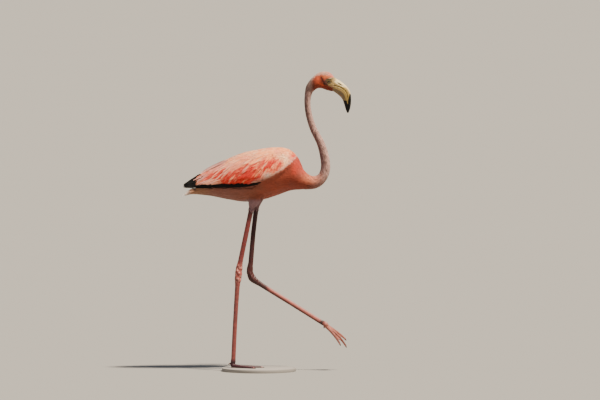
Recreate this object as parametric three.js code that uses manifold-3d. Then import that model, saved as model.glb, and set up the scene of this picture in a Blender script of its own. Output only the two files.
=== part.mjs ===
import * as THREE from "three";
import Module from "manifold-3d";

// An American flamingo at life size, wading slowly: the right foot is planted and the left foot is lifted.
// Lengths are millimetres and angles are degrees. +X is forward, +Y is the bird's left and +Z is up.
// The origin is the middle of the underside of the round base, below the bird's centre of mass.
// The bird has its own group, whose z is 0 at the sole of the planted foot.

const wasm = await Module();
wasm.setup();

// Driving dimensions.
const gap = 0.3; // clearance between neighbouring pieces
const base = { radius: 130, thickness: 12, bevel: 1.5, sides: 32 };
const birdBack = 66; // how far the bird's group stands behind the middle of the base
const bodySides = 22;
const neckSides = 14;
const legSides = 10;
const toeSides = 8;

// Trunk without the wings. Rows: x, back height, belly height, half-width, widest level (0 belly to 1 back).
const trunkRows = [
  [-154, 638.8, 607.6, 30, 0.45],
  [-133, 658, 606.2, 36, 0.45],
  [-105, 682.5, 603.4, 44, 0.46],
  [-70, 707, 595, 55, 0.48],
  [-28, 732.5, 586.9, 65, 0.5],
  [14, 750.6, 581, 72, 0.51],
  [52.5, 762, 582.8, 74, 0.52],
  [91, 770.6, 590.8, 72, 0.52],
  [126, 773.4, 602, 67, 0.52],
  [154, 772.4, 612.5, 61, 0.51],
  [178.5, 763, 620.9, 54, 0.48],
  [199.5, 745.5, 623, 46, 0.45],
  [213.5, 719.2, 623.4, 38, 0.46],
  [224, 693, 623.7, 31, 0.5],
];

// Tail fan. Rows: x, upper height, lower height, half-width.
const tailRows = [
  [-206.5, 598.7, 596.6, 9],
  [-204, 600.5, 597.5, 17],
  [-199.5, 605, 599.4, 23],
  [-189, 615, 603.4, 28],
  [-175, 625.8, 607.3, 31],
  [-154, 637.6, 607.6, 29.5],
];

// Outer form of the folded wings over the body.
// Rows: x, back height, half-width, height of the widest level, drop below that level.
const cloakRows = [
  [-201.2, 637.5, 17, 631, 20],
  [-189, 646.8, 26, 634, 26],
  [-175, 654.5, 31, 637, 32],
  [-154, 667.4, 37, 641, 40],
  [-133, 681.8, 44, 645, 46],
  [-105, 697.6, 53, 651, 52],
  [-70, 717.5, 64, 660, 58],
  [-28, 739.6, 74, 668, 66],
  [14, 754.4, 80, 675, 72],
  [52.5, 765, 82, 680, 76],
  [91, 773, 80, 685, 78],
  [126, 775.4, 75, 690, 76],
  [154, 773.4, 69, 690, 70],
  [178.5, 764, 61, 690, 60],
  [199.5, 747, 51, 690, 50],
];

// Folded wing on the cloak.
// Rows: x, reach of the upper edge from the midline, height of the lower edge, thickness.
const wingRows = [
  [-162, 0.8, 660, 2.4],
  [-154, 0.8, 643, 5],
  [-133, 0.8, 639, 7],
  [-105, 0.8, 639.5, 8],
  [-70, 1.2, 642.5, 9],
  [-28, 4, 645.5, 10],
  [14, 9, 648, 10],
  [42, 14, 651.5, 10],
  [77, 20, 658, 10],
  [108, 25, 669, 10],
  [133, 28, 679, 10],
  [157, 32, 694, 9],
  [176, 38, 711, 7],
  [192, 42, 733, 2.4],
];

// Black flight feathers below and behind the wing coverts. Rows: x, heights of the upper and lower edges.
const flightRows = [
  [-200.5, 637, 632.5],
  [-196, 641, 630.5],
  [-189, 646.4, 630],
  [-175, 654.2, 629.6],
  [-164, 661, 629.4],
  [-158, 655, 629.3],
  [-150, 640.5, 629.2],
  [-133, 637.8, 629.2],
  [-105, 638.5, 630],
  [-70, 641.5, 630.4],
  [-28, 644.5, 631.6],
  [0, 646.5, 634.5],
  [22, 648.5, 641],
  [40, 650.5, 647.5],
];
const flightInset = 2.4; // how far they lie under the cloak
const flightTaper = 40; // length from the wing tip over which the inset grows
const flightThickness = 4;

// Neck from the breast to the nape. Rows: place, x, z, heading (0 forward, 90 up), depth, width.
const neckRows = [
  [0, 224, 658.4, 0, 69.3, 62],
  [1, 240, 651, 1, 53.5, 49.5],
  [2.4, 263, 650, 11.5, 44.6, 42],
  [3.6, 282, 660, 30, 38.6, 37],
  [4.9, 295.2, 681, 56, 35.2, 34.5],
  [6.1, 300, 706, 84, 34, 32.6],
  [8.1, 294.2, 747, 103, 31.2, 30],
  [10, 282, 787.5, 111, 28, 27],
  [12.4, 258.4, 833, 115, 24.6, 23.6],
  [15, 242.2, 882, 103, 23.2, 22],
  [17.2, 236, 924, 91, 22.2, 21.4],
  [18.7, 237.4, 952, 81, 23.6, 22.6],
  [19.7, 241.4, 969.5, 75, 28, 26],
];
// Neck lengths as first and last place, with the number of rings.
const neckLengths = [
  ["neck_lower", 0, 6.1, 11],
  ["neck_middle", 6.1, 12.4, 7],
  ["neck_upper", 12.4, 19.7, 9],
];

// Head from the nape to the base of the bill.
// Rows: place, crown x and z, throat x and z, width, widest level.
const headRows = [
  [0, 227.9, 973.1, 255, 965.9, 26, 0.5],
  [1, 232.4, 989.5, 265.5, 975.6, 32, 0.5],
  [2, 242.4, 1004.6, 274.8, 979.2, 38, 0.5],
  [3, 256.4, 1020, 283.4, 979.1, 42, 0.52],
  [4, 273.4, 1032.9, 292.2, 976.8, 44, 0.54],
  [5, 292.9, 1038.1, 301.2, 973, 43, 0.52],
  [6, 310.6, 1035.6, 310.6, 970.6, 38.5, 0.5],
  [7, 322.6, 1027, 319.6, 968.8, 33, 0.47],
  [8, 330.8, 1016.8, 327.2, 967.6, 29.5, 0.45],
];
const eyeRadius = 7;
const eyeCentre = { x: 310.3, reach: 13.6, z: 1004 };

// Bill bent down in the middle. Each line runs from the base to the tip in the side plane.
const culmen = [
  [331.1, 1016.6], [358.8, 998.9], [383.2, 972.3], [388.9, 941.5], [386.1, 911.8], [379.4, 893],
];
const mouth = [[329.2, 988.8], [353.2, 981], [370.8, 966], [377.4, 940.8], [377.6, 912.4], [376, 893]];
const keel = [[327.6, 967.8], [345.1, 954.8], [357, 941.9], [364, 924.7], [369.9, 905.1], [374.9, 893.8]];
const upperHalfWidths = [14.2, 11.4, 9.8, 8.2, 5.8, 2];
const lowerHalfWidths = [14.6, 15.6, 14.6, 11, 6.6, 1.6];

// Legs from the hip to the foot. Rows: x, reach from the midline, z, depth front to back, width.
const legRows = {
  right: [
    [58, 31, 618, 62, 40], [52, 29, 594, 50, 36], [44.5, 26.5, 573, 32, 26], [39.6, 24.6, 556, 18, 15.5],
    [21, 20, 467, 17.6, 13.4], [2, 15.6, 376, 18, 13.8],
    [-3.6, 14, 344, 24.6, 18.4], [-6.2, 12.8, 319, 25, 18.6], [-9.2, 11, 284, 17.4, 12.8],
    [-17.6, 5.4, 150, 16, 11.2], [-23.2, 1.2, 32, 16.4, 12],
  ],
  left: [
    [64, 31, 618, 56, 40], [62, 30, 594, 44, 34], [59, 28, 573, 28, 25], [56.6, 26.6, 556, 18, 15.5],
    [46, 25, 467, 17.2, 13.4], [37.6, 24, 368, 18, 13.8],
    [34.2, 24, 338, 23.4, 18.2], [43, 24, 312, 25, 18.6], [72, 23.6, 290.6, 17.2, 12.8],
    [180, 21.6, 223.6, 16, 11.2], [285, 20, 158, 16, 12],
  ],
};
// Leg lengths as first and last row, with the number of rings.
const legLengths = [["thigh", 0, 3, 7], ["shank", 3, 5, 5], ["ankle", 5, 8, 9], ["tarsus", 8, 10, 5]];

// Feet. The joint stands over the back of the toes. Toe rows: name, angle out to the bird's left, length.
// Half-widths and heights from root to tip.
const toeSizes = [[6.4, 15], [5.6, 10.5], [5.2, 8.6], [4.4, 7], [3.4, 5.4]];
const clawSizes = [[3.2, 5], [2.9, 4.2], [2, 3], [0.7, 1.6]];
const clawLength = 9;
const hindToe = { length: 15, radius: 2.8, rise: 9, claw: 5 };
const webThickness = 2.4;
const webReach = 0.86; // part of each toe that the web reaches
const webDip = 0.62; // part of the toe length that the web reaches midway between two toes
const feet = {
  right: { joint: [-24.8, 0, 0], toes: [["inner", 33, 80], ["middle", -1, 101], ["outer", -36, 90]] },
  left: { joint: [297, 19.8, 143], toes: [["inner", -17, 80], ["middle", 1, 101], ["outer", 17, 90]],
    droop: 28, pitch: 32, roll: 30 },
};

const colours = {
  coral: 0xee8a66, pink: 0xe9a898, neck: 0xc9938a, pale: 0xecc4b4, head: 0xd97858,
  bill: 0xe8d9a8, black: 0x141213, leg: 0xb2615c, eye: 0x2a1a10, base: 0xb9b4ab,
};

const flamingo = new THREE.Group();
const bird = new THREE.Group();
bird.position.set(-birdBack, 0, base.thickness + gap);
flamingo.add(bird);

function addPart(name, colour, roughness, geometry, group = bird) {
  const material = new THREE.MeshStandardMaterial({ color: colour, roughness, metalness: 0 });
  const mesh = new THREE.Mesh(geometry, material);
  mesh.name = name;
  group.add(mesh);
}

// Smooth in-between rows of a table whose first column places each row.
function table(rows) {
  const values = rows.flatMap((row) => row.slice(1));
  const curve = new THREE.CubicInterpolant(rows.map((row) => row[0]), values, rows[0].length - 1);
  return (place) => Array.from(curve.evaluate(place));
}

function steps(from, to, count) {
  return Array.from({ length: count }, (_, index) => from + (to - from) * index / (count - 1));
}

// A closed solid over rings of equal point counts.
// Point i of a ring faces point count-1-i, so strips cap the ends.
function loft(rings) {
  const sides = rings[0].length;
  const points = rings.flat();
  const last = (rings.length - 1) * sides;
  const faces = [];
  for (let row = 0; row < last; row += sides) {
    for (let i = 0; i < sides; i += 1) {
      const next = (i + 1) % sides;
      faces.push([row + i, row + next, row + sides + next], [row + i, row + sides + next, row + sides + i]);
    }
  }
  for (let i = 0; i < sides / 2 - 1; i += 1) {
    const [a, b, c, d] = [i, i + 1, sides - 2 - i, sides - 1 - i];
    faces.push([a, c, b], [a, d, c], [last + a, last + b, last + c], [last + a, last + c, last + d]);
  }
  return closedGeometry(points, faces);
}

// A geometry with its faces pointing out, whichever way round the rings ran.
function closedGeometry(points, faces) {
  const volume = faces.reduce((sum, [a, b, c]) => {
    return sum + points[a].dot(new THREE.Vector3().crossVectors(points[b], points[c]));
  }, 0);
  const index = faces.flatMap(([a, b, c]) => (volume > 0 ? [a, b, c] : [a, c, b]));
  const geometry = new THREE.BufferGeometry();
  geometry.setAttribute("position", new THREE.Float32BufferAttribute(points.flatMap((p) => p.toArray()), 3));
  geometry.setIndex(index);
  return geometry;
}

function toSolid(geometry) {
  const vertProperties = new Float32Array(geometry.attributes.position.array);
  const triVerts = new Uint32Array(geometry.index.array);
  return new wasm.Manifold(new wasm.Mesh({ numProp: 3, vertProperties, triVerts }));
}

function toGeometry(solid) {
  const mesh = solid.getMesh();
  const geometry = new THREE.BufferGeometry();
  geometry.setAttribute("position", new THREE.BufferAttribute(mesh.vertProperties, 3));
  geometry.setIndex(new THREE.BufferAttribute(mesh.triVerts, 1));
  return geometry;
}

// The largest body left when the tools are cut away.
function cut(geometry, ...tools) {
  const rest = tools.reduce((solid, tool) => solid.subtract(toSolid(tool)), toSolid(geometry));
  const bodies = rest.simplify(0.02).decompose();
  bodies.sort((a, b) => b.volume() - a.volume());
  return toGeometry(bodies[0]);
}

function join(...geometries) {
  return geometries.map(toSolid).reduce((whole, solid) => whole.add(solid));
}

const superellipse = (value, square) => Math.sign(value) * Math.abs(value) ** (2 / square);

// Ring of points round a centre.
// up and down are the reaches along the upward vector, and half is the reach across.
function ring({ centre, across, upward, half, up, down, square = 2, squareDown = square, sides }) {
  return Array.from({ length: sides }, (_, index) => {
    const angle = (index + 0.5) / sides * 2 * Math.PI;
    const rise = Math.cos(angle);
    const height = rise > 0 ? up * superellipse(rise, square) : down * superellipse(rise, squareDown);
    const reach = half * superellipse(Math.sin(angle), rise > 0 ? square : squareDown);
    return centre.clone().addScaledVector(across, reach).addScaledVector(upward, height);
  });
}

const leftward = new THREE.Vector3(0, 1, 0);
const straightUp = new THREE.Vector3(0, 0, 1);

// Ring in the side plane between an upper and a lower point.
function ringBetween(upper, lower, half, level, sides, squares = {}) {
  const span = upper.clone().sub(lower);
  const length = span.length();
  const centre = lower.clone().addScaledVector(span, level);
  const upward = span.clone().normalize();
  const [up, down] = [length * (1 - level), length * level];
  return ring({ centre, across: leftward, upward, half, up, down, sides, ...squares });
}

function trunkGeometry(grow) {
  const row = table(trunkRows);
  const rings = steps(-154 - grow, 224 + grow, 22).map((x) => {
    const [back, belly, half, level] = row(THREE.MathUtils.clamp(x, -154, 224));
    const upper = new THREE.Vector3(x, 0, back + grow);
    const lower = new THREE.Vector3(x, 0, belly - grow);
    return ringBetween(upper, lower, half + grow, level, bodySides, { square: 2.05, squareDown: 1.85 });
  });
  return loft(rings);
}

function tailGeometry(grow) {
  const row = table(tailRows);
  const places = [-206.5, -204.5, -200.5, -194, -186, -176, -165, -154 - gap + grow];
  const rings = places.map((x) => {
    const [upperHeight, lowerHeight, half] = row(Math.min(x, -154));
    const upper = new THREE.Vector3(x, 0, upperHeight + grow);
    const lower = new THREE.Vector3(x, 0, lowerHeight - grow);
    return ringBetween(upper, lower, half + grow, 0.4, 14);
  });
  return loft(rings);
}

const cloakRow = table(cloakRows);

// Point on the cloak at x, at an angle down from the midline of the back, in radians.
function cloakPoint(x, turn, hand) {
  const [back, half, middle, drop] = cloakRow(x);
  const rise = Math.cos(turn);
  const height = middle + rise * (rise > 0 ? back - middle : drop);
  return new THREE.Vector3(x, hand * half * Math.sin(turn), height);
}

function turnAtHeight(x, z) {
  const [back, , middle, drop] = cloakRow(x);
  return Math.acos(THREE.MathUtils.clamp((z - middle) / (z > middle ? back - middle : drop), -1, 1));
}

function turnAtReach(x, reach) {
  return Math.asin(Math.min(reach / cloakRow(x)[1], 1));
}

// Thin section of the cloak between two turns, with its edges half as thick as its middle.
function cloakRing(x, hand, from, to, inset, thickness, count) {
  const outer = [];
  const inner = [];
  for (const turn of steps(from, to, count)) {
    const point = cloakPoint(x, turn, hand);
    const along = cloakPoint(x, turn + 0.01, hand).sub(cloakPoint(x, turn - 0.01, hand)).normalize();
    const inward = new THREE.Vector3(0, hand * along.z, -hand * along.y);
    const swell = 0.5 + 0.5 * Math.sqrt(Math.sin(Math.PI * (turn - from) / (to - from)) + 1e-9);
    outer.push(point.clone().addScaledVector(inward, inset));
    inner.push(point.clone().addScaledVector(inward, inset + thickness * swell));
  }
  return [...outer, ...inner.reverse()];
}

function wingGeometry(hand, grow) {
  const row = table(wingRows);
  const places = [-162 - grow, -157, -150, ...steps(-135, 170, 13), 181, 188, 192 + grow];
  const rings = places.map((x) => {
    const [reach, lowerEdge, thickness] = row(THREE.MathUtils.clamp(x, -162, 192));
    const from = turnAtReach(x, Math.max(reach - grow, 0.05));
    const to = turnAtHeight(x, lowerEdge - grow);
    return cloakRing(x, hand, from, to, -grow, thickness + 2 * grow, 7);
  });
  return loft(rings);
}

function flightGeometry(hand) {
  const row = table(flightRows);
  const places = [-200.5, -194, -184, -172, -164, -158, -150, ...steps(-130, 40, 7)];
  const rings = places.map((x) => {
    const [upperEdge, lowerEdge] = row(x);
    const highest = turnAtReach(x, 0.8);
    const from = Math.max(turnAtHeight(x, upperEdge), highest);
    const inset = flightInset * Math.min(1, (x - places[0]) / flightTaper);
    return cloakRing(x, hand, from, turnAtHeight(x, lowerEdge), inset, flightThickness, 4);
  });
  return loft(rings);
}

function neckGeometry(from, to, count) {
  const row = table(neckRows);
  const rings = steps(from + gap / 40, to - gap / 40, count).map((place) => {
    const [x, z, heading, depth, width] = row(place);
    const angle = THREE.MathUtils.degToRad(heading);
    const upward = new THREE.Vector3(-Math.sin(angle), 0, Math.cos(angle));
    const centre = new THREE.Vector3(x, 0, z);
    const [half, reach] = [width / 2, depth / 2];
    return ring({ centre, across: leftward, upward, half, up: reach, down: reach, sides: neckSides });
  });
  return loft(rings);
}

function headGeometry() {
  const row = table(headRows);
  const rings = steps(0.02, 8, 17).map((place) => {
    const [upperX, upperZ, lowerX, lowerZ, width, level] = row(place);
    const upper = new THREE.Vector3(upperX, 0, upperZ);
    const lower = new THREE.Vector3(lowerX, 0, lowerZ);
    return ringBetween(upper, lower, width / 2, level, bodySides, { square: 2.15, squareDown: 2 });
  });
  return loft(rings);
}

function line(points) {
  return new THREE.SplineCurve(points.map(([x, z]) => new THREE.Vector2(x, z)));
}

// One half of the bill between two lines of the side plane, flat along the mouth.
function billGeometry(upperLine, lowerLine, halfWidths, level, squares, upperLift, lowerLift) {
  const upperCurve = line(upperLine);
  const lowerCurve = line(lowerLine);
  const halves = line(halfWidths.map((half, index) => [half, index]));
  const rings = steps(0, 1, 15).map((place) => {
    const upper = upperCurve.getPoint(place);
    const lower = lowerCurve.getPoint(place);
    const upwards = upper.clone().sub(lower).normalize();
    upper.addScaledVector(upwards, upperLift);
    lower.addScaledVector(upwards, lowerLift);
    const half = halves.getPoint(place).x;
    const [top, bottom] = [upper, lower].map((point) => new THREE.Vector3(point.x, 0, point.y));
    return ringBetween(top, bottom, half, level, 12, squares);
  });
  return loft(rings);
}

// One length of a leg, cut square to the leg's own direction at both ends.
function legGeometry(rows, hand, first, last, count) {
  const path = new THREE.CatmullRomCurve3(rows.map(([x, reach, z]) => new THREE.Vector3(x, hand * reach, z)));
  const girth = table(rows.map(([, , , depth, width], index) => [index, depth, width]));
  const start = first === 0 ? 0 : first + gap / 200;
  const rings = steps(start, last - gap / 200, count).map((place) => {
    const along = path.getTangent(place / (rows.length - 1));
    const across = leftward.clone().addScaledVector(along, -along.y).normalize();
    const upward = new THREE.Vector3().crossVectors(along, across);
    const centre = path.getPoint(place / (rows.length - 1));
    const [depth, width] = girth(place);
    const reach = depth / 2;
    return ring({ centre, across, upward, half: width / 2, up: reach, down: reach, sides: legSides });
  });
  return loft(rings);
}

// Foot frame: x along the middle toe, z up from the sole.
// The lifted foot is curled, rolled and pitched from that.
function footPlacement({ joint, droop = 0, pitch = 0, roll = 0 }) {
  const [bend, down, tip] = [droop, pitch, roll].map(THREE.MathUtils.degToRad);
  const radius = bend > 0 ? 100 / bend : 0;
  const pose = new THREE.Matrix4().makeRotationFromEuler(new THREE.Euler(tip, down, 0, "ZYX"));
  return (point) => {
    const placed = point.clone();
    if (radius > 0 && point.x > 0) {
      const angle = point.x / radius;
      placed.x = (radius + point.z) * Math.sin(angle);
      placed.z = (radius + point.z) * Math.cos(angle) - radius;
    }
    return placed.applyMatrix4(pose).add(new THREE.Vector3(...joint));
  };
}

function mapPoints(geometry, place) {
  const positions = geometry.attributes.position;
  const point = new THREE.Vector3();
  for (let i = 0; i < positions.count; i += 1) {
    const placed = place(point.fromBufferAttribute(positions, i));
    positions.setXYZ(i, placed.x, placed.y, placed.z);
  }
  return geometry;
}

function toeDirection(angle) {
  const radians = THREE.MathUtils.degToRad(angle);
  return new THREE.Vector3(Math.cos(radians), Math.sin(radians), 0);
}

// Toe or claw lying on the sole plane, from one distance along its direction to another.
// Sizes are [half-width, height].
function toeGeometry(angle, from, to, sizes, count) {
  const along = toeDirection(angle);
  const across = new THREE.Vector3(-along.y, along.x, 0);
  const size = table(sizes.map(([half, height], index) => [index / (sizes.length - 1), half, height]));
  const rings = steps(0, 1, count).map((place) => {
    const [half, height] = size(place);
    const centre = along.clone().multiplyScalar(from + (to - from) * place).setZ(height * 0.35 - 0.5);
    const [up, down] = [height * 0.65, height * 0.35];
    return ring({ centre, across, upward: straightUp, half, up, down, sides: toeSides, squareDown: 3 });
  });
  return loft(rings);
}

// Web outline: out along each toe, with a hollow edge between neighbouring toes.
function webGeometry(toes) {
  const outline = new THREE.Shape();
  outline.moveTo(-5, -4);
  const ordered = [...toes].sort((a, b) => a[1] - b[1]);
  ordered.forEach(([, angle, length], index) => {
    const end = toeDirection(angle).multiplyScalar(length * webReach);
    if (index === 0) outline.lineTo(end.x, end.y);
    else {
      const before = ordered[index - 1];
      const dip = toeDirection((angle + before[1]) / 2).multiplyScalar((length + before[2]) / 2 * webDip);
      outline.quadraticCurveTo(dip.x, dip.y, end.x, end.y);
    }
  });
  outline.lineTo(-5, 4);
  outline.closePath();
  const sheet = { depth: webThickness, bevelEnabled: false, curveSegments: 4 };
  return weld(new THREE.ExtrudeGeometry(outline, sheet));
}

// Vertices at the same place shared, so that the geometry is closed.
function weld(geometry) {
  const positions = geometry.attributes.position;
  const seen = new Map();
  const points = [];
  const numbers = [];
  for (let i = 0; i < positions.count; i += 1) {
    const point = new THREE.Vector3().fromBufferAttribute(positions, i);
    const key = point.toArray().map((value) => value.toFixed(3)).join();
    if (!seen.has(key)) seen.set(key, points.push(point) - 1);
    numbers.push(seen.get(key));
  }
  const corners = geometry.index ? Array.from(geometry.index.array, (i) => numbers[i]) : numbers;
  const faces = [];
  for (let i = 0; i < corners.length; i += 3) faces.push(corners.slice(i, i + 3));
  return closedGeometry(points, faces);
}

// Direction and cross vectors of the lower end of a leg.
function legEnd(rows, hand) {
  const [before, last] = rows.slice(-2).map(([x, reach, z]) => new THREE.Vector3(x, hand * reach, z));
  const along = last.clone().sub(before).normalize();
  const across = leftward.clone().addScaledVector(along, -along.y).normalize();
  const upward = new THREE.Vector3().crossVectors(along, across);
  return { end: last, along, across, upward, depth: rows.at(-1)[3], width: rows.at(-1)[4] };
}

// Straight stub from the end of the tarsus down into the foot joint.
function footStub({ end, along, across, upward, depth, width }, base) {
  const start = end.clone().addScaledVector(along, gap / 2);
  const rings = [[start, 1], [start.clone().lerp(base, 0.5), 1.12], [base, 0.95]].map(([centre, scale]) => {
    const reach = depth / 2 * scale;
    return ring({ centre, across, upward, half: width / 2 * scale, up: reach, down: reach, sides: legSides });
  });
  return loft(rings);
}

// Short raised toe on the back of the leg just above the foot joint, or its claw.
function hindToeGeometry({ along, across, upward }, base, [from, startRadius], [to, endRadius]) {
  const outward = upward.clone().multiplyScalar(-0.86).addScaledVector(along, 0.51);
  const root = base.clone().addScaledVector(along, -hindToe.rise);
  const side = new THREE.Vector3().crossVectors(outward, across);
  const rings = steps(0, 1, 4).map((place) => {
    const centre = root.clone().addScaledVector(outward, from + (to - from) * place);
    const radius = startRadius + (endRadius - startRadius) * place;
    return ring({ centre, across, upward: side, half: radius, up: radius, down: radius, sides: toeSides });
  });
  return loft(rings);
}

function addFoot(name, hand, foot, rows) {
  const place = footPlacement(foot);
  const leg = legEnd(rows, hand);
  const floorBox = weld(new THREE.BoxGeometry(400, 400, 60).translate(0, 0, 30));
  const toes = foot.toes.map(([, angle, length]) => toeGeometry(angle, -4, length, toeSizes, 6));
  const knuckle = weld(new THREE.SphereGeometry(9, 8, 6).scale(1, 0.85, 1).translate(0, 0, 8.4));
  const paw = join(webGeometry(foot.toes), knuckle, ...toes).intersect(toSolid(floorBox));
  const placedPaw = mapPoints(toGeometry(paw), place);
  const base = place(new THREE.Vector3(0, 0, 11));
  const { length, radius } = hindToe;
  const hind = hindToeGeometry(leg, base, [0, radius], [length, radius * 0.8]);
  const whole = join(placedPaw, footStub(leg, base), hind);
  addPart(`foot_${name}`, colours.leg, 0.6, toGeometry(whole.simplify(0.03)));
  for (const [toe, angle, reach] of foot.toes) {
    const claw = toeGeometry(angle, reach + gap, reach + clawLength, clawSizes, 3);
    const trimmed = toGeometry(toSolid(claw).intersect(toSolid(floorBox)));
    addPart(`claw_${toe}_${name}`, colours.black, 0.4, mapPoints(trimmed, place));
  }
  const hindClaw = hindToeGeometry(leg, base, [length + gap, radius * 0.7], [length + hindToe.claw, 0.6]);
  addPart(`claw_hind_${name}`, colours.black, 0.4, hindClaw);
}

// Round base with bevelled rims.
function baseGeometry({ radius, thickness, bevel, sides: count }) {
  const under = [[0, 0], [radius - bevel, 0], [radius, bevel]];
  const over = [[radius, thickness - bevel], [radius - bevel, thickness], [0, thickness]];
  const profile = [...under, ...over];
  const lathe = new THREE.LatheGeometry(profile.map(([x, y]) => new THREE.Vector2(x, y)), count);
  return weld(lathe.rotateX(Math.PI / 2));
}

const sides = [["right", -1], ["left", 1]];

addPart("stand_base", colours.base, 0.7, baseGeometry(base), flamingo);

addPart("trunk", colours.coral, 0.85, trunkGeometry(0));
addPart("tail", colours.pale, 0.85, tailGeometry(0));
for (const [name, from, to, count] of neckLengths) {
  addPart(name, colours.neck, 0.85, neckGeometry(from, to, count));
}

const trunkRoom = trunkGeometry(gap);
const tailRoom = tailGeometry(gap);
for (const [name, hand] of sides) {
  const flight = cut(flightGeometry(hand), trunkRoom, tailRoom, wingGeometry(hand, gap));
  addPart(`wing_${name}`, colours.coral, 0.85, cut(wingGeometry(hand, 0), trunkRoom));
  addPart(`flight_feathers_${name}`, colours.black, 0.7, flight);
}

function eyeBall(radius, hand) {
  const ball = new THREE.SphereGeometry(radius, 12, 8);
  return weld(ball.translate(eyeCentre.x, hand * eyeCentre.reach, eyeCentre.z));
}

const sockets = sides.map(([, hand]) => eyeBall(eyeRadius + gap, hand));
addPart("head", colours.head, 0.85, cut(headGeometry(), ...sockets));
for (const [name, hand] of sides) addPart(`eye_${name}`, colours.eye, 0.1, eyeBall(eyeRadius, hand));

const ridged = { square: 1.9, squareDown: 4 };
const keeled = { square: 4, squareDown: 2 };
const upperBill = billGeometry(culmen, mouth, upperHalfWidths, 0.14, ridged, 0, gap / 2);
const lowerBill = billGeometry(mouth, keel, lowerHalfWidths, 0.84, keeled, -gap / 2, 0);
addPart("bill_upper", colours.bill, 0.45, upperBill);
addPart("bill_lower", colours.bill, 0.45, lowerBill);

for (const [name, hand] of sides) {
  const rows = legRows[name];
  for (const [length, first, last, count] of legLengths) {
    const geometry = legGeometry(rows, hand, first, last, count);
    const feathered = length === "thigh";
    const whole = feathered ? cut(geometry, trunkRoom) : geometry;
    addPart(`${length}_${name}`, feathered ? colours.pink : colours.leg, feathered ? 0.85 : 0.6, whole);
  }
  addFoot(name, hand, feet[name], rows);
}

export default flamingo;
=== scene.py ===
import math

import bmesh
import bpy
import numpy as np
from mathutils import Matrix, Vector
from mathutils.bvhtree import BVHTree
from mathutils.kdtree import KDTree


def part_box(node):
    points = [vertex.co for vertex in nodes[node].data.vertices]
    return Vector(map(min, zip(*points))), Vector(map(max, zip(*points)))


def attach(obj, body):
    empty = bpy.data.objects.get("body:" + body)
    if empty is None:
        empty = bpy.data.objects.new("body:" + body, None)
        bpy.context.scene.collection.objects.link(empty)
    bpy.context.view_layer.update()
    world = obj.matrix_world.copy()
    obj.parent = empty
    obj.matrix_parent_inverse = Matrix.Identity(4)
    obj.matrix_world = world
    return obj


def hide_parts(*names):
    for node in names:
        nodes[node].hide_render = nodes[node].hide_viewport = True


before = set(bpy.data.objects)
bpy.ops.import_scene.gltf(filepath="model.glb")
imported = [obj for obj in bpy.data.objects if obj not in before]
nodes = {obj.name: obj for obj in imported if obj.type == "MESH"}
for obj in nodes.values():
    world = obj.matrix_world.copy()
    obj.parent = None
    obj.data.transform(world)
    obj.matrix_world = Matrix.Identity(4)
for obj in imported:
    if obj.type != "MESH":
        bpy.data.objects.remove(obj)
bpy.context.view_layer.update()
mm = 0.001
hands = {"right": -1, "left": 1}
print("frame:", len(nodes), "nodes")

# camera and light

shot = {
    "aim": (0.144, 0, 0.600),
    "elevation": 2.8,  # degrees above the horizon
    "distance": 35,
    "lens": 600,
    "sensor": 36,
}

studio = {
    "floorWidth": 600,
    "floorTone": "8c8a85",
    "sunTurn": (28, 0, 49),  # degrees
    "sunStrength": 11.5,
    "sunSoftness": 6,
    "sunTone": "fff0dc",
    "skyTone": "cfdaee",
    "skyStrength": 0.40,
}


def tone(code):
    # linear colour of a web colour code
    parts = np.array([int(code[i:i + 2], 16) for i in (0, 2, 4)]) / 255
    return np.where(parts <= 0.04045, parts / 12.92, ((parts + 0.055) / 1.055) ** 2.4)


def tonesOf(codes):
    return {key: tone(code) for key, code in codes.items()}


def placeCamera():
    tilt = math.radians(shot["elevation"])
    lens = bpy.data.cameras.new("shotCamera")
    lens.lens = shot["lens"]
    lens.sensor_width = shot["sensor"]
    lens.clip_end = 900
    camera = bpy.data.objects.new("shotCamera", lens)
    away = Vector((0, -math.cos(tilt), math.sin(tilt)))
    camera.location = Vector(shot["aim"]) + away * shot["distance"]
    camera.rotation_euler = (math.pi / 2 - tilt, 0, 0)
    bpy.context.scene.collection.objects.link(camera)
    bpy.context.scene.camera = camera


def feed(material, node, values):
    # sets inputs of a node, or wires them where the value is the output of another
    for key, value in values.items():
        if isinstance(value, bpy.types.NodeSocket):
            material.node_tree.links.new(value, node.inputs[key])
        else:
            node.inputs[key].default_value = value


def feedShader(material, values):
    feed(material, material.node_tree.nodes["Principled BSDF"], values)


def newMaterial(name, roughness, specular=0.5, sheen=0.0, coat=0.0, subsurface=0.0):
    material = bpy.data.materials.new(name)
    material.use_nodes = True
    feedShader(material, {
        "Roughness": roughness, "Specular IOR Level": specular, "Sheen Weight": sheen,
        "Sheen Roughness": 0.5, "Coat Weight": coat, "Coat Roughness": 0.08,
        "Subsurface Weight": subsurface, "Subsurface Scale": 0.004,
    })
    return material


def addNode(material, kind, values, output=0, **settings):
    # an output of a new node
    node = material.node_tree.nodes.new(kind)
    for key, value in settings.items():
        setattr(node, key, value)
    feed(material, node, values)
    return node.outputs[output]


def attributeOf(material, name, output):
    return addNode(material, "ShaderNodeAttribute", {}, output, attribute_name=name)


def objectPlace(material):
    return addNode(material, "ShaderNodeTexCoord", {}, "Object")


def calculated(material, operation, *values):
    return addNode(material, "ShaderNodeMath", dict(enumerate(values)), operation=operation)


def noiseOf(material, scale, detail, roughness=0.5, place=None):
    place = objectPlace(material) if place is None else place
    return addNode(material, "ShaderNodeTexNoise", {
        "Vector": place, "Scale": scale, "Detail": detail, "Roughness": roughness})


def ranged(material, value, results, limits=(0.3, 0.7)):
    # a value brought from its limits to others; most of a noise lies between 0.3 and 0.7
    low, high = results
    return addNode(material, "ShaderNodeMapRange", {
        "Value": value, "From Min": limits[0], "From Max": limits[1], "To Min": low, "To Max": high})


def bumpOf(material, height, strength, distance):
    return addNode(material, "ShaderNodeBump", {"Height": height, "Strength": strength, "Distance": distance})


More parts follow.
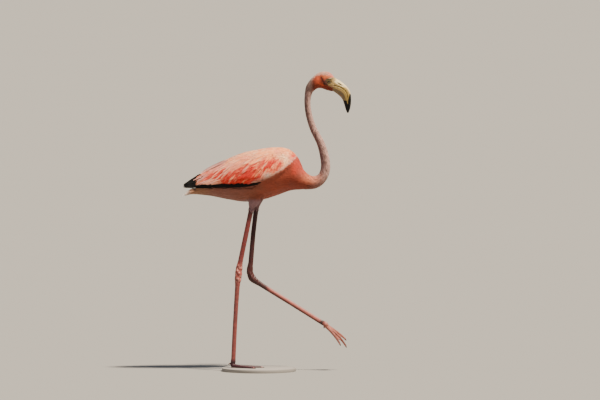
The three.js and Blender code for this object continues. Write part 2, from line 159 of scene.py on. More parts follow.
def shadesOf(material, share, code, factors):
    # between a darker and a lighter shade of one tone
    ramp = addNode(material, "ShaderNodeValToRGB", {"Fac": share})
    for element, factor in zip(ramp.node.color_ramp.elements, factors):
        element.color = (*tone(code) * factor, 1)
    return ramp


def markedMaterial(material, factors):
    # base colour from the markings of the mesh times some factors
    product = factors[0]
    for factor in factors[1:]:
        product = calculated(material, "MULTIPLY", product, factor)
    marking = attributeOf(material, "marking", "Color")
    colour = addNode(material, "ShaderNodeVectorMath", {0: marking, "Scale": product}, operation="SCALE")
    feedShader(material, {"Base Color": colour})
    return material


def floorMaterial():
    material = newMaterial("floorPaint", 0.9, specular=0.1)
    speckle = noiseOf(material, 0.6, 2)
    feedShader(material, {"Base Color": shadesOf(material, speckle, studio["floorTone"], (0.985, 1))})
    return material


def buildStudio():
    half = studio["floorWidth"] / 2
    mesh = bpy.data.meshes.new("floor")
    corners = [(-half, -half, 0), (half, -half, 0), (half, half, 0), (-half, half, 0)]
    mesh.from_pydata(corners, [], [(0, 1, 2, 3)])
    mesh.materials.append(floorMaterial())
    floor = bpy.data.objects.new("floor", mesh)
    bpy.context.scene.collection.objects.link(floor)
    sun = bpy.data.lights.new("keySun", "SUN")
    sun.energy = studio["sunStrength"]
    sun.angle = math.radians(studio["sunSoftness"])
    sun.color = tone(studio["sunTone"])
    lamp = bpy.data.objects.new("keySun", sun)
    lamp.rotation_euler = [math.radians(turn) for turn in studio["sunTurn"]]
    bpy.context.scene.collection.objects.link(lamp)
    world = bpy.data.worlds.new("softSky")
    world.use_nodes = True
    sky = world.node_tree.nodes["Background"]
    sky.inputs["Color"].default_value = (*tone(studio["skyTone"]), 1)
    sky.inputs["Strength"].default_value = studio["skyStrength"]
    bpy.context.scene.world = world


placeCamera()
buildStudio()
print("camera and studio ready")

# small tools for arrays and meshes


def ease(low, high, value):
    share = np.clip((value - low) / (high - low), 0, 1)
    return share * share * (3 - 2 * share)


def between(pair, share):
    return pair[0] + (pair[1] - pair[0]) * share


def mixed(first, second, share):
    # between two colours, or two lists of them
    return first + (second - first) * np.clip(np.asarray(share, float), 0, 1)[..., None]


def unit(vectors):
    return vectors / np.maximum(np.linalg.norm(vectors, axis=-1, keepdims=True), 1e-12)


def dot(first, second):
    return (first * second).sum(-1, keepdims=True)


def bell(distance, width):
    return np.exp(-(distance / width) ** 2)


def spot(points, x, z, radiusX, radiusZ):
    # a soft spot of the side plane
    return np.exp(-((points[:, 0] - x) / radiusX) ** 2 - ((points[:, 2] - z) / radiusZ) ** 2)


def spots(points, rows):
    # sum of soft spots given as strength, x, z and two radii
    return sum(strength * spot(points, *row) for strength, *row in rows)


def ripple(points, size, seed):
    # smooth random values near -1 to 1 that change over about the given size
    waves = np.random.default_rng(seed)
    total = np.zeros(len(points))
    for _ in range(7):
        direction = unit(waves.normal(size=3)) * 2 * math.pi / size * waves.uniform(0.6, 1.5)
        total += np.sin(points @ direction + waves.uniform(0, 6.28))
    return total / 2.6


def streaks(points, slope, size, stretch, seed):
    # ripples drawn out along a slope of the side plane, in degrees below the horizontal
    turn = math.radians(slope)
    x, y, z = points.T
    across = x * math.sin(turn) - z * math.cos(turn)
    along = x * math.cos(turn) + z * math.sin(turn)
    return ripple(np.stack([across, y * 0.5, along / stretch], 1), size, seed)


def curveThrough(points, count):
    # even steps along a smooth line through the points, and its length
    points = np.array(points, float)
    padded = np.vstack([2 * points[0] - points[1], points, 2 * points[-1] - points[-2]])
    pieces = []
    for a, b, c, d in zip(padded, padded[1:], padded[2:], padded[3:]):
        t = np.linspace(0, 1, 24, endpoint=False)[:, None]
        bend = (2 * a - 5 * b + 4 * c - d) * t ** 2 + (3 * b - a - 3 * c + d) * t ** 3
        pieces.append(0.5 * (2 * b + (c - a) * t + bend))
    fine = np.vstack(pieces + [points[-1:]])
    reach = np.concatenate([[0], np.cumsum(np.linalg.norm(np.diff(fine, axis=0), axis=1))])
    even = np.linspace(0, reach[-1], count)
    return np.stack([np.interp(even, reach, fine[:, k]) for k in range(fine.shape[1])], 1), reach[-1]


def fetched(items, field, kind):
    # three-part values of mesh items
    values = np.zeros(len(items) * 3, kind)
    items.foreach_get(field, values)
    return values.reshape(-1, 3)


def meshArrays(mesh):
    mesh.calc_loop_triangles()
    triangles = fetched(mesh.loop_triangles, "vertices", np.int32)
    return fetched(mesh.vertices, "co", np.float32).astype(float), triangles


def meshEdges(mesh):
    edges = np.zeros(len(mesh.edges) * 2, np.int32)
    mesh.edges.foreach_get("vertices", edges)
    return edges.reshape(-1, 2)


def meshNormals(mesh):
    return fetched(mesh.vertices, "normal", np.float32).astype(float)


def floats(values):
    return np.ascontiguousarray(values, np.float32).ravel()


def setPoints(mesh, points):
    mesh.vertices.foreach_set("co", floats(points))
    mesh.update()


def setColours(mesh, colours):
    layer = mesh.color_attributes.new("marking", "FLOAT_COLOR", "POINT")
    layer.data.foreach_set("color", floats(np.insert(np.clip(colours, 0, 1), 3, 1, axis=1)))


def newMesh(name, points, triangles):
    mesh = bpy.data.meshes.new(name)
    mesh.vertices.add(len(points))
    mesh.vertices.foreach_set("co", floats(points))
    mesh.loops.add(triangles.size)
    mesh.loops.foreach_set("vertex_index", np.ascontiguousarray(triangles, np.int32).ravel())
    mesh.polygons.add(len(triangles))
    mesh.polygons.foreach_set("loop_start", np.arange(0, triangles.size, 3, dtype=np.int32))
    mesh.update(calc_edges=True)
    mesh.shade_smooth()
    return mesh


def turnedMesh(name, profile, sides):
    # a closed body turned round Z from (radius, height) rows that start and end on the axis
    profile = np.array(profile)
    angles = np.arange(sides) / sides * 2 * math.pi
    rings = profile[1:-1]
    wide, high = rings.T[..., None]
    body = np.stack([wide * np.cos(angles), wide * np.sin(angles), high + 0 * angles], -1).reshape(-1, 3)
    points = np.vstack([body, [(0, 0, profile[0, 1])], [(0, 0, profile[-1, 1])]])
    first, last = len(body), len(body) + 1
    triangles = []
    for i in range(sides):
        after = (i + 1) % sides
        triangles.append((first, i, after))
        for row in range(0, len(body) - sides, sides):
            triangles.append((row + i, row + sides + i, row + after))
            triangles.append((row + after, row + sides + i, row + sides + after))
        triangles.append((last, len(body) - sides + after, len(body) - sides + i))
    return newMesh(name, points, np.array(triangles))


def addPiece(name, mesh, material, replaced):
    piece = bpy.data.objects.new(name, mesh)
    mesh.materials.clear()
    mesh.materials.append(material)
    bpy.context.scene.collection.objects.link(piece)
    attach(piece, "root")
    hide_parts(*replaced)
    return piece


def relax(values, edges, times, strength=0.5):
    # spreads values over the mesh, each towards the mean of its neighbours
    count = len(values)
    first, second = edges.T
    neighbours = np.maximum(np.bincount(first, minlength=count) + np.bincount(second, minlength=count), 1)
    for _ in range(times):
        total = [np.bincount(first, v[second], count) + np.bincount(second, v[first], count)
                 for v in values.T]
        values = values + strength * (np.stack(total, 1) / neighbours[:, None] - values)
    return values


def softened(values, edges, times):
    # relax for one value a point
    return relax(values[:, None].astype(float), edges, times)[:, 0]


def polish(points, edges, times):
    # smooths without shrinking
    for _ in range(times):
        points = relax(points, edges, 1, 0.5)
        points = relax(points, edges, 1, -0.52)
    return points


def faceTree(points, triangles):
    return BVHTree.FromPolygons([tuple(p) for p in points], triangles.tolist())


def placeTree(places):
    tree = KDTree(len(places))
    for i, place in enumerate(places):
        tree.insert(place, i)
    tree.balance()
    return tree


def swollenCopy(name, amount):
    # points and triangles of a CAD node with shared corners merged and its surface pushed out a little
    points, triangles = meshArrays(nodes[name].data)
    points, owner = np.unique(np.round(points, 6), axis=0, return_inverse=True)
    triangles = owner.reshape(-1)[triangles]
    a, b, c = points[triangles].transpose(1, 0, 2)
    faceNormals = np.cross(b - a, c - a)
    normals = np.zeros_like(points)
    for corner in triangles.T:
        np.add.at(normals, corner, faceNormals)
    return points + unit(normals) * amount, triangles


def dropCrumbs(mesh):
    # removes all but the largest connected part
    first, second = meshEdges(mesh).T
    label = np.arange(len(mesh.vertices))
    while True:
        lower = label.copy()
        np.minimum.at(lower, first, label[second])
        np.minimum.at(lower, second, label[first])
        lower = lower[lower]
        if (lower == label).all():
            break
        label = lower
    crumbs = label != np.bincount(label).argmax()
    if crumbs.any():
        whole = bmesh.new()
        whole.from_mesh(mesh)
        loose = [v for v, crumb in zip(whole.verts, crumbs) if crumb]
        bmesh.ops.delete(whole, geom=loose, context="VERTS")
        whole.to_mesh(mesh)
        whole.free()


def gathered(names, swell):
    # points and triangles of several CAD nodes as one list
    allPoints, allTriangles, start = [], [], 0
    for name in names:
        points, triangles = swollenCopy(name, swell)
        allPoints.append(points)
        allTriangles.append(triangles + start)
        start += len(points)
    return np.vstack(allPoints), np.vstack(allTriangles)


def remeshed(names, voxel, swell):
    # one closed surface round copies of CAD nodes
    rough = bpy.data.objects.new("rough", newMesh("rough", *gathered(names, swell)))
    bpy.context.scene.collection.objects.link(rough)
    change = rough.modifiers.new("remesh", "REMESH")
    change.mode = "VOXEL"
    change.voxel_size = voxel
    graph = bpy.context.evaluated_depsgraph_get()
    mesh = bpy.data.meshes.new_from_object(rough.evaluated_get(graph))
    bpy.data.objects.remove(rough)
    dropCrumbs(mesh)
    mesh.shade_smooth()
    return mesh


def makeFiner(mesh, boxes):
    # halves the edges inside each (low, high) box
    surface = bmesh.new()
    surface.from_mesh(mesh)
    for low, high in boxes:
        chosen = [e for e in surface.edges if all(
            low[k] < v.co[k] < high[k] for v in e.verts for k in range(3))]
        bmesh.ops.subdivide_edges(surface, edges=chosen, cuts=1, use_grid_fill=True)
    bmesh.ops.triangulate(surface, faces=[f for f in surface.faces if len(f.verts) > 4])
    surface.to_mesh(mesh)
    surface.free()
    mesh.shade_smooth()


def smoothCopy(names, build):
    # a closed copy of CAD nodes, with its edges and its points before and after smoothing
    mesh = remeshed(names, build["voxel"], build["swell"])
    edges = meshEdges(mesh)
    points, _ = meshArrays(mesh)
    return mesh, edges, points, polish(points, edges, build["polish"])


class Surface:
    # arrays of a mesh with its search tree, and how deep each point lies under the coat's outline
    def __init__(self, mesh, depth, zone, normalPasses):
        self.points, self.triangles = meshArrays(mesh)
        self.edges = meshEdges(mesh)
        self.normals = unit(relax(meshNormals(mesh), self.edges, normalPasses))
        self.depth = depth
        self.zone = zone
        self.tree = faceTree(self.points, self.triangles)

    def nearest(self, points):
        # nearest places on the surface with the surface's direction there
        found = [self.tree.find_nearest(p) for p in points.tolist()]
        places = np.array([f[0] for f in found])
        corners = self.triangles[[f[2] for f in found]]
        reach = np.linalg.norm(self.points[corners] - places[:, None], axis=2)
        weights = 1 / (reach + 1e-5)
        return places, unit((self.normals[corners] * weights[..., None]).sum(1))


# the line of the body, from the bill's base over head and neck to the tail, as (x, z) in metres

bodyLine = [
    (0.270, 1.000), (0.234, 1.017), (0.199, 1.012), (0.182, 0.997), (0.1735, 0.972), (0.170, 0.936),
    (0.176, 0.894), (0.192, 0.845), (0.216, 0.800), (0.228, 0.759), (0.234, 0.718), (0.228, 0.691),
    (0.213, 0.671), (0.190, 0.663), (0.158, 0.670), (0.125, 0.685), (0.075, 0.696), (0.010, 0.695),
    (-0.060, 0.681), (-0.136, 0.660), (-0.205, 0.637), (-0.273, 0.610),
]
linePoints, lineLength = curveThrough(bodyLine, 500)
lineTangents = unit(np.gradient(linePoints, axis=0))
lineTree = placeTree([(x, 0, z) for x, z in linePoints])
neckTop = (0.095, 0.135)  # distances along the line over which head turns to neck
neckBase = (0.455, 0.535)  # and neck to body


def alongBody(points):
    # distance along the body line, the line's direction there, and the turn about it (0 is the upper side)
    nearest = np.array([lineTree.find((x, 0, z))[1] for x, _, z in points.tolist()])
    tangent = lineTangents[nearest]
    offset = points[:, [0, 2]] - linePoints[nearest]
    height = offset[:, 0] * tangent[:, 1] - offset[:, 1] * tangent[:, 0]
    direction = np.insert(tangent, 1, 0, axis=1)
    return nearest / (len(linePoints) - 1) * lineLength, direction, np.arctan2(points[:, 1], height)


zoneNames = ["head", "neck", "trunk", "wing", "flight", "tail", "thigh", "leg"]
head, neck, trunk, wing, flight, tail, thigh, leg = range(8)
zoneOfPart = {name: name for name in zoneNames} | dict.fromkeys(["shank", "ankle", "tarsus", "foot"], "leg")


def zonesOf(points):
    # which kind of CAD node lies nearest to each point
    allPoints, allTriangles, owner, start = [], [], [], 0
    for name, node in nodes.items():
        kind = zoneOfPart.get(name.split("_")[0])
        if kind is None:
            continue
        corners, triangles = meshArrays(node.data)
        allPoints.append(corners)
        allTriangles.append(triangles + start)
        owner += [zoneNames.index(kind)] * len(triangles)
        start += len(corners)
    tree = faceTree(np.vstack(allPoints), np.vstack(allTriangles))
    return np.array([owner[tree.find_nearest(p)[2]] for p in points.tolist()])


# the skin, one surface for all the flesh

skinBuild = {
    "voxel": 1.7 * mm,
    "swell": 0.5 * mm,  # makes the copies overlap where they meet
    "polish": 6,
    "legPolish": 5,
    "bodyDepth": 5.6 * mm,  # how far the skin lies under the outline of the feathers
    "neckDepth": (1.5 * mm, 3.2 * mm),  # at its top and base
    "headDepth": 1.4 * mm,
    "thighDepth": 3.0 * mm,
    "rearDepth": 2.8 * mm,
    "fineBoxes": [  # where the mesh is made finer: head, eye, ankles and feet
        ((0.165, -0.05, 0.965), (0.28, 0.05, 1.06)), ((0.228, -0.05, 1.000), (0.262, 0.05, 1.034)),
        ((-0.12, -0.07, 0.290), (0.03, 0.07, 0.395)), ((-0.12, -0.07, 0.0), (0.03, 0.06, 0.056)),
        ((0.195, -0.02, 0.07), (0.33, 0.07, 0.19)),
    ],
}

# edge of the bare face in the side plane, as (x, z) in metres
bareFace = [
    (0.276, 1.040), (0.262, 1.030), (0.249, 1.0285), (0.237, 1.025), (0.229, 1.019), (0.2285, 1.011),
    (0.236, 1.0035), (0.247, 0.9975), (0.257, 0.991), (0.266, 0.981), (0.278, 0.970),
]

eyes = {
    "radius": 7.0 * mm,
    "place": (0.2443, 0.0136, 1.0163),
    "facing": (0.12, 1, 0.03),
    "halfWidth": 5.5 * mm,  # of the opening between the lids
    "halfHeight": 4.5 * mm,
    "tilt": -24,  # degrees of the long axis of the opening
    "lid": 0.8 * mm,
    "socket": 2.2 * mm,  # depth of the skin behind the front of the eye
    "wrinkles": 23,
    "wrinkleDepth": 0.10 * mm,
}

# furrows of the face as start, end, width and depth; a negative depth is a ridge
faceFurrows = [
    ((0.2520, 1.0120), (0.2645, 1.0045), 1.3 * mm, 0.55 * mm),  # from the eye to the bill
    ((0.2560, 1.0015), (0.2680, 0.9995), 0.9 * mm, 0.90 * mm),  # corner of the mouth
    ((0.2545, 0.9980), (0.2660, 0.9950), 1.1 * mm, -0.45 * mm),  # fold below it
    ((0.2350, 1.0065), (0.2520, 1.0005), 1.2 * mm, 0.45 * mm),  # below the eye
    ((0.2390, 1.0255), (0.2560, 1.0240), 1.4 * mm, -0.40 * mm),  # brow
]


def awayFrom(points, a, b):
    # distance in the side plane from a straight stretch
    flat, a, b = points[:, [0, 2]], np.array(a), np.array(b)
    along = np.clip(((flat - a) @ (b - a)) / ((b - a) @ (b - a)), 0, 1)
    return np.linalg.norm(flat - a - along[:, None] * (b - a), axis=1)


def insideDistance(points, outline):
    # distance in from the edge of an outline of the side plane, negative outside it
    x, _, z = points.T
    nearest = np.full(len(points), np.inf)
    crossings = np.zeros(len(points), int)
    for a, b in zip(outline, outline[1:] + outline[:1]):
        nearest = np.minimum(nearest, awayFrom(points, a, b))
        spans = (z < b[1]) != (z < a[1])
        crossings += spans & (x < a[0] + (z - a[1]) * (b[0] - a[0]) / (b[1] - a[1] + 1e-12))
    return np.where(crossings % 2 == 1, nearest, -nearest)


def bareness(points, softness=1 * mm):
    # 1 on the bare face, 0 under feathers
    return ease(-softness, softness, insideDistance(points, bareFace))


def eyeView(points):
    # centre of the eye on each point's side, the way out from it, and the distance from the lids' opening
    x, reach, z = eyes["place"]
    side = np.where(points[:, 1] < 0, -1, 1)
    centre = np.stack([np.full(len(points), x), side * reach, np.full(len(points), z)], 1)
    offset = points - centre
    turn = math.radians(eyes["tilt"])
    across = offset[:, 0] * math.cos(turn) + offset[:, 2] * math.sin(turn)
    up = -offset[:, 0] * math.sin(turn) + offset[:, 2] * math.cos(turn)
    opening = np.hypot(across / eyes["halfWidth"], up / eyes["halfHeight"])
    return centre, offset, np.arctan2(up, across), opening


def shapeLids(points):
    centre, offset, angle, opening = eyeView(points)
    reach = np.linalg.norm(offset, axis=1)
    near = (reach < 15 * mm) & (np.abs(points[:, 1]) > 8 * mm)
    direction = offset / reach[:, None]
    hidden = centre + direction * (eyes["radius"] - eyes["socket"])
    swell = eyes["lid"] * (0.35 + 0.65 * bell(opening - 1.18, 0.16))
    wrinkle = np.sin(angle * eyes["wrinkles"] + 3 * opening)
    swell = swell + eyes["wrinkleDepth"] * wrinkle * ease(1.2, 1.6, opening) * ease(2.9, 2.0, opening)
    lid = centre + direction * (eyes["radius"] + swell)[:, None]
    shaped = points + (lid - points) * (1 - ease(1.45, 2.3, opening))[:, None]
    crease = 0.55 * bell(opening - 1.55, 0.14) + 0.7 * bell(opening - 2.1, 0.25)
    shaped = shaped - direction * (crease * mm)[:, None]
    shaped = np.where((opening < 1)[:, None], hidden, shaped)
    return np.where(near[:, None], shaped, points)


def shapeFace(points, normals, bare):
    # furrows, folds and fine creases of the bare face
    inward = np.zeros(len(points))
    for start, end, width, depth in faceFurrows:
        inward += depth * bell(awayFrom(points, start, end), width)
    fine = np.abs(ripple(points, 3.2 * mm, 8)) + 0.6 * np.abs(ripple(points, 1.7 * mm, 9))
    inward += 0.10 * mm * (1 - np.minimum(fine, 1))
    return points - normals * (inward * bare * (np.abs(points[:, 1]) > 4 * mm))[:, None]


legParts = [f"{part}_{side}" for part in ("shank", "ankle", "tarsus", "foot") for side in hands]
fleshParts = ["trunk", "neck_lower", "neck_middle", "neck_upper", "head", "wing_right", "wing_left",
              "thigh_right", "thigh_left"] + legParts


def depthOf(points, zone, depths, rearDepth):
    # depth for each zone, less over the thin rear of the body
    depth = np.choose(zone, [np.broadcast_to(value, len(zone)) for value in depths])
    onBody = (zone >= trunk) & (zone <= tail)
    return depth + (rearDepth - depth) * ease(-0.14, -0.195, points[:, 0]) * onBody


def buildSkinShape():
    mesh = remeshed(fleshParts + ["eye_right", "eye_left"], skinBuild["voxel"], skinBuild["swell"])
    makeFiner(mesh, skinBuild["fineBoxes"])
    points, _ = meshArrays(mesh)
    edges = meshEdges(mesh)
    zone = zonesOf(points)
    onLeg = zone == leg
    # the thin legs go back onto the CAD's own surface
    legTree = faceTree(*gathered(legParts, 0))
    legPoints = points.copy()
    legPoints[onLeg] = [legTree.find_nearest(p)[0] for p in points[onLeg].tolist()]
    legPoints = polish(legPoints, edges, skinBuild["legPolish"])
    points = polish(points, edges, skinBuild["polish"])
    distance, _, _ = alongBody(points)
    neckDepth = between(skinBuild["neckDepth"], ease(0.13, 0.42, distance))
    depths = [skinBuild["headDepth"], neckDepth, *[skinBuild["bodyDepth"]] * 4, skinBuild["thighDepth"], 0]
    depth = depthOf(points, zone, depths, skinBuild["rearDepth"])
    bare = np.where(zone == head, bareness(points), 0)
    depth = softened(depth * (1 - bare), edges, 14)
    normals = unit(relax(meshNormals(mesh), edges, 3))
    points = points - normals * (depth + skinBuild["swell"])[:, None]
    legShare = softened(onLeg, edges, 4)[:, None]
    points = points + (legPoints - normals * depth[:, None] - points) * legShare
    setPoints(mesh, shapeLids(shapeFace(points, normals, bare)))
    return mesh, Surface(mesh, depth, zone, 2)


skinMesh, skin = buildSkinShape()
print("skin:", len(skin.points), "points")

# a plainer surface over body, wings and tail, on which the feathers lie

lieBuild = {
    "voxel": 3.0 * mm,
    "swell": 0.5 * mm,
    "polish": 10,
    "shoulderPolish": 26,  # further passes where the wing rises from the breast
    "depths": [4.0 * mm, 3.2 * mm, 4.0 * mm, 4.0 * mm, 2.6 * mm, 2.0 * mm, 3.2 * mm, 0],  # in each zone
    "rearDepth": 1.6 * mm,  # over the thin rear ends of wings and tail
}


def buildLieSurface():
    names = ["trunk", "tail", "neck_lower", "neck_middle"]
    names += [f"{part}_{side}" for part in ("wing", "flight_feathers", "thigh") for side in hands]
    mesh, edges, _, points = smoothCopy(names, lieBuild)
    x, _, z = points.T
    shoulder = ease(-0.03, 0.04, x) * ease(0.165, 0.145, x) * ease(0.625, 0.65, z)
    smoother = relax(points, edges, lieBuild["shoulderPolish"])
    points = points + (smoother - points) * shoulder[:, None]
    setPoints(mesh, points)
    zone = zonesOf(points)
    depth = softened(depthOf(points, zone, lieBuild["depths"], lieBuild["rearDepth"]), edges, 8)
    normals = unit(relax(meshNormals(mesh), edges, 6))
    setPoints(mesh, points - normals * (depth + lieBuild["swell"])[:, None])
    surface = Surface(mesh, depth, zone, 4)
    bpy.data.meshes.remove(mesh)
    return surface


lie = buildLieSurface()
print("surface for the feathers:", len(lie.points), "points")

# colours of the bird, shared by skin and feathers

# the tones of the underside, salmon, breast, belly, vent and undertail, are darker than the bird's own,
# partly painted shade
bodyTones = tonesOf({
    "peach": "ff9c60", "rose": "d8806e", "cream": "ffd0a2", "orange": "cc2000", "salmon": "a0452a",
    "breast": "92341a", "flame": "c03216", "belly": "8c4a34", "vent": "8a5648", "undertail": "9a6a4c",
    "tailTip": "fff0e4", "fringe": "cf9c88", "tuft": "d8b4a0", "thigh": "927074", "drapedDull": "c08c84",
    "drapedPale": "f2bf98",
})
# the front tone is paler partly as painted light on the neck's front; the under tone is painted shade at the
# neck's base
neckTones = tonesOf({
    "front": "cca093", "rear": "967672", "mottle": "583930", "base": "d87e5a", "under": "823c24",
})
# the throat tone gives dark mottling and also painted shade under the head and at the back of the cheek
headTones = tonesOf({
    "cheek": "a4442c", "bright": "f26638", "crown": "d0a08c", "forehead": "e88a7c", "nape": "86685e",
    "throat": "5a2a18", "brow": "e07c44", "crescent": "3c120a", "lore": "8a7440", "lid": "1e1c0c",
    "gape": "84563e",
})
# the under and fold tones are painted shade, under the lifted tarsus and in the folds between its toes
legTones = tonesOf({
    "shin": "762a24", "shaft": "82403a", "joint": "a4524a", "ridge": "eca494", "toe": "9e6052",
    "lifted": "a25c52", "web": "3c1c22", "band": "140a0a", "sole": "623436", "under": "521e1a",
    "fold": "52201a",
})
# the seam, keel and nostril tones are painted shade along the mouth, under the lower half and in the nostril;
# the ridge tone also gives the nostril's rim a painted highlight
billTones = tonesOf({
    "base": "9a8050", "ridge": "d6c498", "side": "a08448", "olive": "5e5228", "seam": "1c1608",
    "keel": "766450", "nostril": "100a05", "black": "020202",
})

# lower edge of the coverts and the line of the back, as heights at places along the body
covertEdgeX = [-0.226, -0.206, -0.178, -0.164, -0.0905, -0.0415, -0.017, 0.011, 0.046, 0.0845, 0.126, 0.150]
covertEdgeZ = [0.658, 0.6530, 0.6545, 0.6580, 0.6590, 0.6620, 0.667, 0.6755, 0.688, 0.7107, 0.745, 0.770]
backX = [-0.267, -0.220, -0.171, -0.094, -0.014, 0.060, 0.112, 0.134, 0.158]
backZ = [0.650, 0.680, 0.710, 0.752, 0.777, 0.788, 0.776, 0.759, 0.705]
# the top of the cheek, where the pale crown begins
crownX = [0.16, 0.186, 0.199, 0.216, 0.25, 0.27]
crownZ = [0.985, 1.018, 1.032, 1.039, 1.036, 1.028]

# soft spots of colour on the wing as strength, x, z and two radii
shoulderSpots = [
    (1, 0.060, 0.720, 0.032, 0.017), (1, 0.020, 0.722, 0.022, 0.020), (0.9, 0.119, 0.742, 0.014, 0.024),
    (0.5, 0.055, 0.745, 0.03, 0.012),
]
crestSpots = [
    (0.7, 0.080, 0.752, 0.020, 0.010), (1, 0.097, 0.738, 0.010, 0.014), (0.6, 0.086, 0.716, 0.016, 0.007),
]


def covertEdge(x):
    return np.interp(x, covertEdgeX, covertEdgeZ)


def wingLevel(points):
    # 0 at the lower edge of the folded wing, 1 along the back
    edge = covertEdge(points[:, 0])
    return (points[:, 2] - edge) / np.maximum(np.interp(points[:, 0], backX, backZ) - edge, 5 * mm)


def layered(colour, tones, *layers):
    # lays named tones over a colour one after another, each by its share
    for name, share in layers:
        colour = mixed(colour, tones[name], share)
    return colour


def underMarkings(points, variation):
    # breast, belly and under the tail, in tones darker than the bird's own, partly painted shade of the
    # underside
    x, _, z = points.T
    broad = ripple(points, 0.040, 3)
    return layered(
        bodyTones["belly"], bodyTones,
        ("salmon", ease(-0.04, 0.06, x) + 0.25 * broad),
        ("breast", ease(0.05, 0.13, x + 0.3 * (z - 0.66)) * 0.8 + 0.1 * variation),
        ("flame", 0.7 * ease(0.105, 0.125, x) * ease(0.685, 0.70, z) * ease(0.765, 0.745, z)),
        ("vent", 0.8 * ease(0.0, -0.12, x - 0.4 * (z - 0.62)) + 0.15 * broad),
        ("undertail", ease(-0.14, -0.21, x)),
        ("tailTip", ease(-0.236, -0.262, x)),
    )


def wingMarkings(points, variation):
    x, _, z = points.T
    height = z - covertEdge(x)
    fine = streaks(points, 42, 0.011, 5, 4)
    broad = streaks(points, 38, 0.026, 3, 6)
    band = ease(0.060, 0.024, height + 0.012 * broad) * ease(-0.21, -0.16, x) * ease(0.045, -0.035, x)
    band = np.maximum(band, 0.75 * spot(points, -0.045, 0.700, 0.030, 0.030))
    shoulder, crest = spots(points, shoulderSpots), spots(points, crestSpots)
    return layered(
        bodyTones["peach"], bodyTones,
        ("rose", ease(0.0, -0.12, x) * 0.75 + 0.3 * broad),
        ("cream", 0.5 * ease(0.2, 1.2, fine + 0.4 * variation)),
        ("orange", 2.0 * band * (0.70 + 0.34 * fine + 0.22 * variation)),
        ("orange", 1.5 * shoulder * (0.62 + 0.35 * fine + 0.25 * variation)),
        ("cream", 0.9 * crest * (0.8 + 0.3 * variation)),
        ("fringe", 0.85 * (ease(-0.035, -0.01, x) * ease(0.012, 0.002, height))),
        ("tuft", 0.95 * spot(points, 0.030, 0.6945, 0.014, 0.008)),
    )


def bodyMarkings(points, variation):
    upper = ease(-0.05, 0.04, wingLevel(points) + 0.02 * variation)
    upper = np.maximum(upper, ease(0.748, 0.765, points[:, 2]))
    return mixed(underMarkings(points, variation), wingMarkings(points, variation), upper)


def neckMarkings(points, distance, turn, variation):
    throat = 0.5 - 0.5 * np.cos(turn)
    mottle = 0.30 * ripple(points, 0.014, 5) + 0.16 * variation + 0.22
    # paler on the throat side, partly the neck's own colour and partly painted light on its front
    colour = layered(
        neckTones["rear"], neckTones, ("front", ease(0.1, 0.95, throat)),
        ("mottle", np.clip(mottle, 0, 0.62) * ease(1.0, 0.6, throat)),
    )
    # the throat side of the neck's base takes a darker tone, painted shade on the underside of its lowest
    # bend
    low = mixed(neckTones["base"], neckTones["under"], ease(0.35, 0.8, throat))
    return mixed(colour, low, ease(0.40, 0.50, distance))


def headMarkings(points, variation):
    x, _, z = points.T
    above = z - np.interp(x, crownX, crownZ) + 1.5 * mm * ripple(points, 0.008, 12) + 0.8 * mm * variation
    streak = bell(awayFrom(points, (0.2055, 1.0120), (0.2240, 1.0030)), 4.2 * mm)
    bright = spot(points, 0.2065, 1.0240, 0.0075, 0.0090) + 0.85 * streak
    behind = awayFrom(points, (0.2180, 1.0300), (0.2300, 1.0060))
    low = ease(0.998, 0.986, z + 0.15 * (x - 0.2)) * ease(0.185, 0.21, x)
    return layered(
        headTones["cheek"], headTones,
        # dark mottling at random, and darker towards the bottom of the head as painted shade
        ("throat", 0.30 * ripple(points, 0.007, 13) + 0.16 * variation + 0.2 * ease(1.012, 1.000, z)),
        ("bright", 0.9 * bright * (0.9 + 0.2 * variation)),
        ("brow", 0.8 * spot(points, 0.240, 1.033, 0.018, 0.007)),
        ("crescent", 0.95 * bell(behind, 3.6 * mm)),
        # painted shade at the back of the cheek
        ("throat", 0.75 * spot(points, 0.190, 1.004, 0.006, 0.016)),
        ("crown", ease(-0.003, 0.006, above)),
        ("forehead", 0.85 * ease(-0.007, 0.001, above) * ease(0.232, 0.252, x)),
        ("nape", ease(0.193, 0.180, x + 1.5 * mm * variation)),
        # painted shade under the head
        ("throat", 0.9 * low),
    )


def bareMarkings(points):
    _, offset, _, opening = eyeView(points)
    green = ease(2.5, 1.6, opening) * (0.8 + 0.2 * ripple(points, 0.003, 15))
    behind = ease(-6.0 * mm, -9.0 * mm, offset[:, 0] + 0.45 * offset[:, 2]) * ease(0.992, 1.000, points[:, 2])
    over = awayFrom(points, (0.2350, 1.0240), (0.2570, 1.0250))
    colour = layered(
        headTones["lore"], headTones, ("gape", 0.30 * ripple(points, 0.006, 14) + 0.15),
        ("lid", 0.95 * green), ("crescent", 0.92 * behind), ("lid", 0.9 * bell(over, 1.8 * mm)),
    )
    colour = mixed(colour, billTones["base"], 0.9 * ease(0.2575, 0.2625, points[:, 0]))
    seam = awayFrom(points, *faceFurrows[1][:2])
    return layered(
        # painted shade: the bare face darker towards its bottom, and along the furrow at the corner of the
        # mouth
        colour, headTones, ("gape", 0.75 * ease(1.006, 0.994, points[:, 2])),
        ("crescent", 0.45 * bell(seam, 0.8 * mm)),
    )


def thighShare(points):
    # 1 on the feathered thighs, 0 on the trunk
    x, y, z = points.T
    beside = ease(-0.075, -0.045, x) * ease(0.06, 0.035, x) * ease(0.004, 0.012, np.abs(y))
    return ease(0.622, 0.598, z) * beside


def plumageMarkings(points, variation):
    # variation is a random value for each feather, or 0 for the skin below
    distance, _, turn = alongBody(points)
    colour = mixed(headMarkings(points, variation), neckMarkings(points, distance, turn, variation),
                   ease(*neckTop, distance))
    colour = mixed(colour, bodyMarkings(points, variation), ease(*neckBase, distance + 4 * mm * variation))
    tufts = thighShare(points) * ease(0.612, 0.594, points[:, 2])
    return mixed(colour, bodyTones["thigh"], 0.85 * tufts)


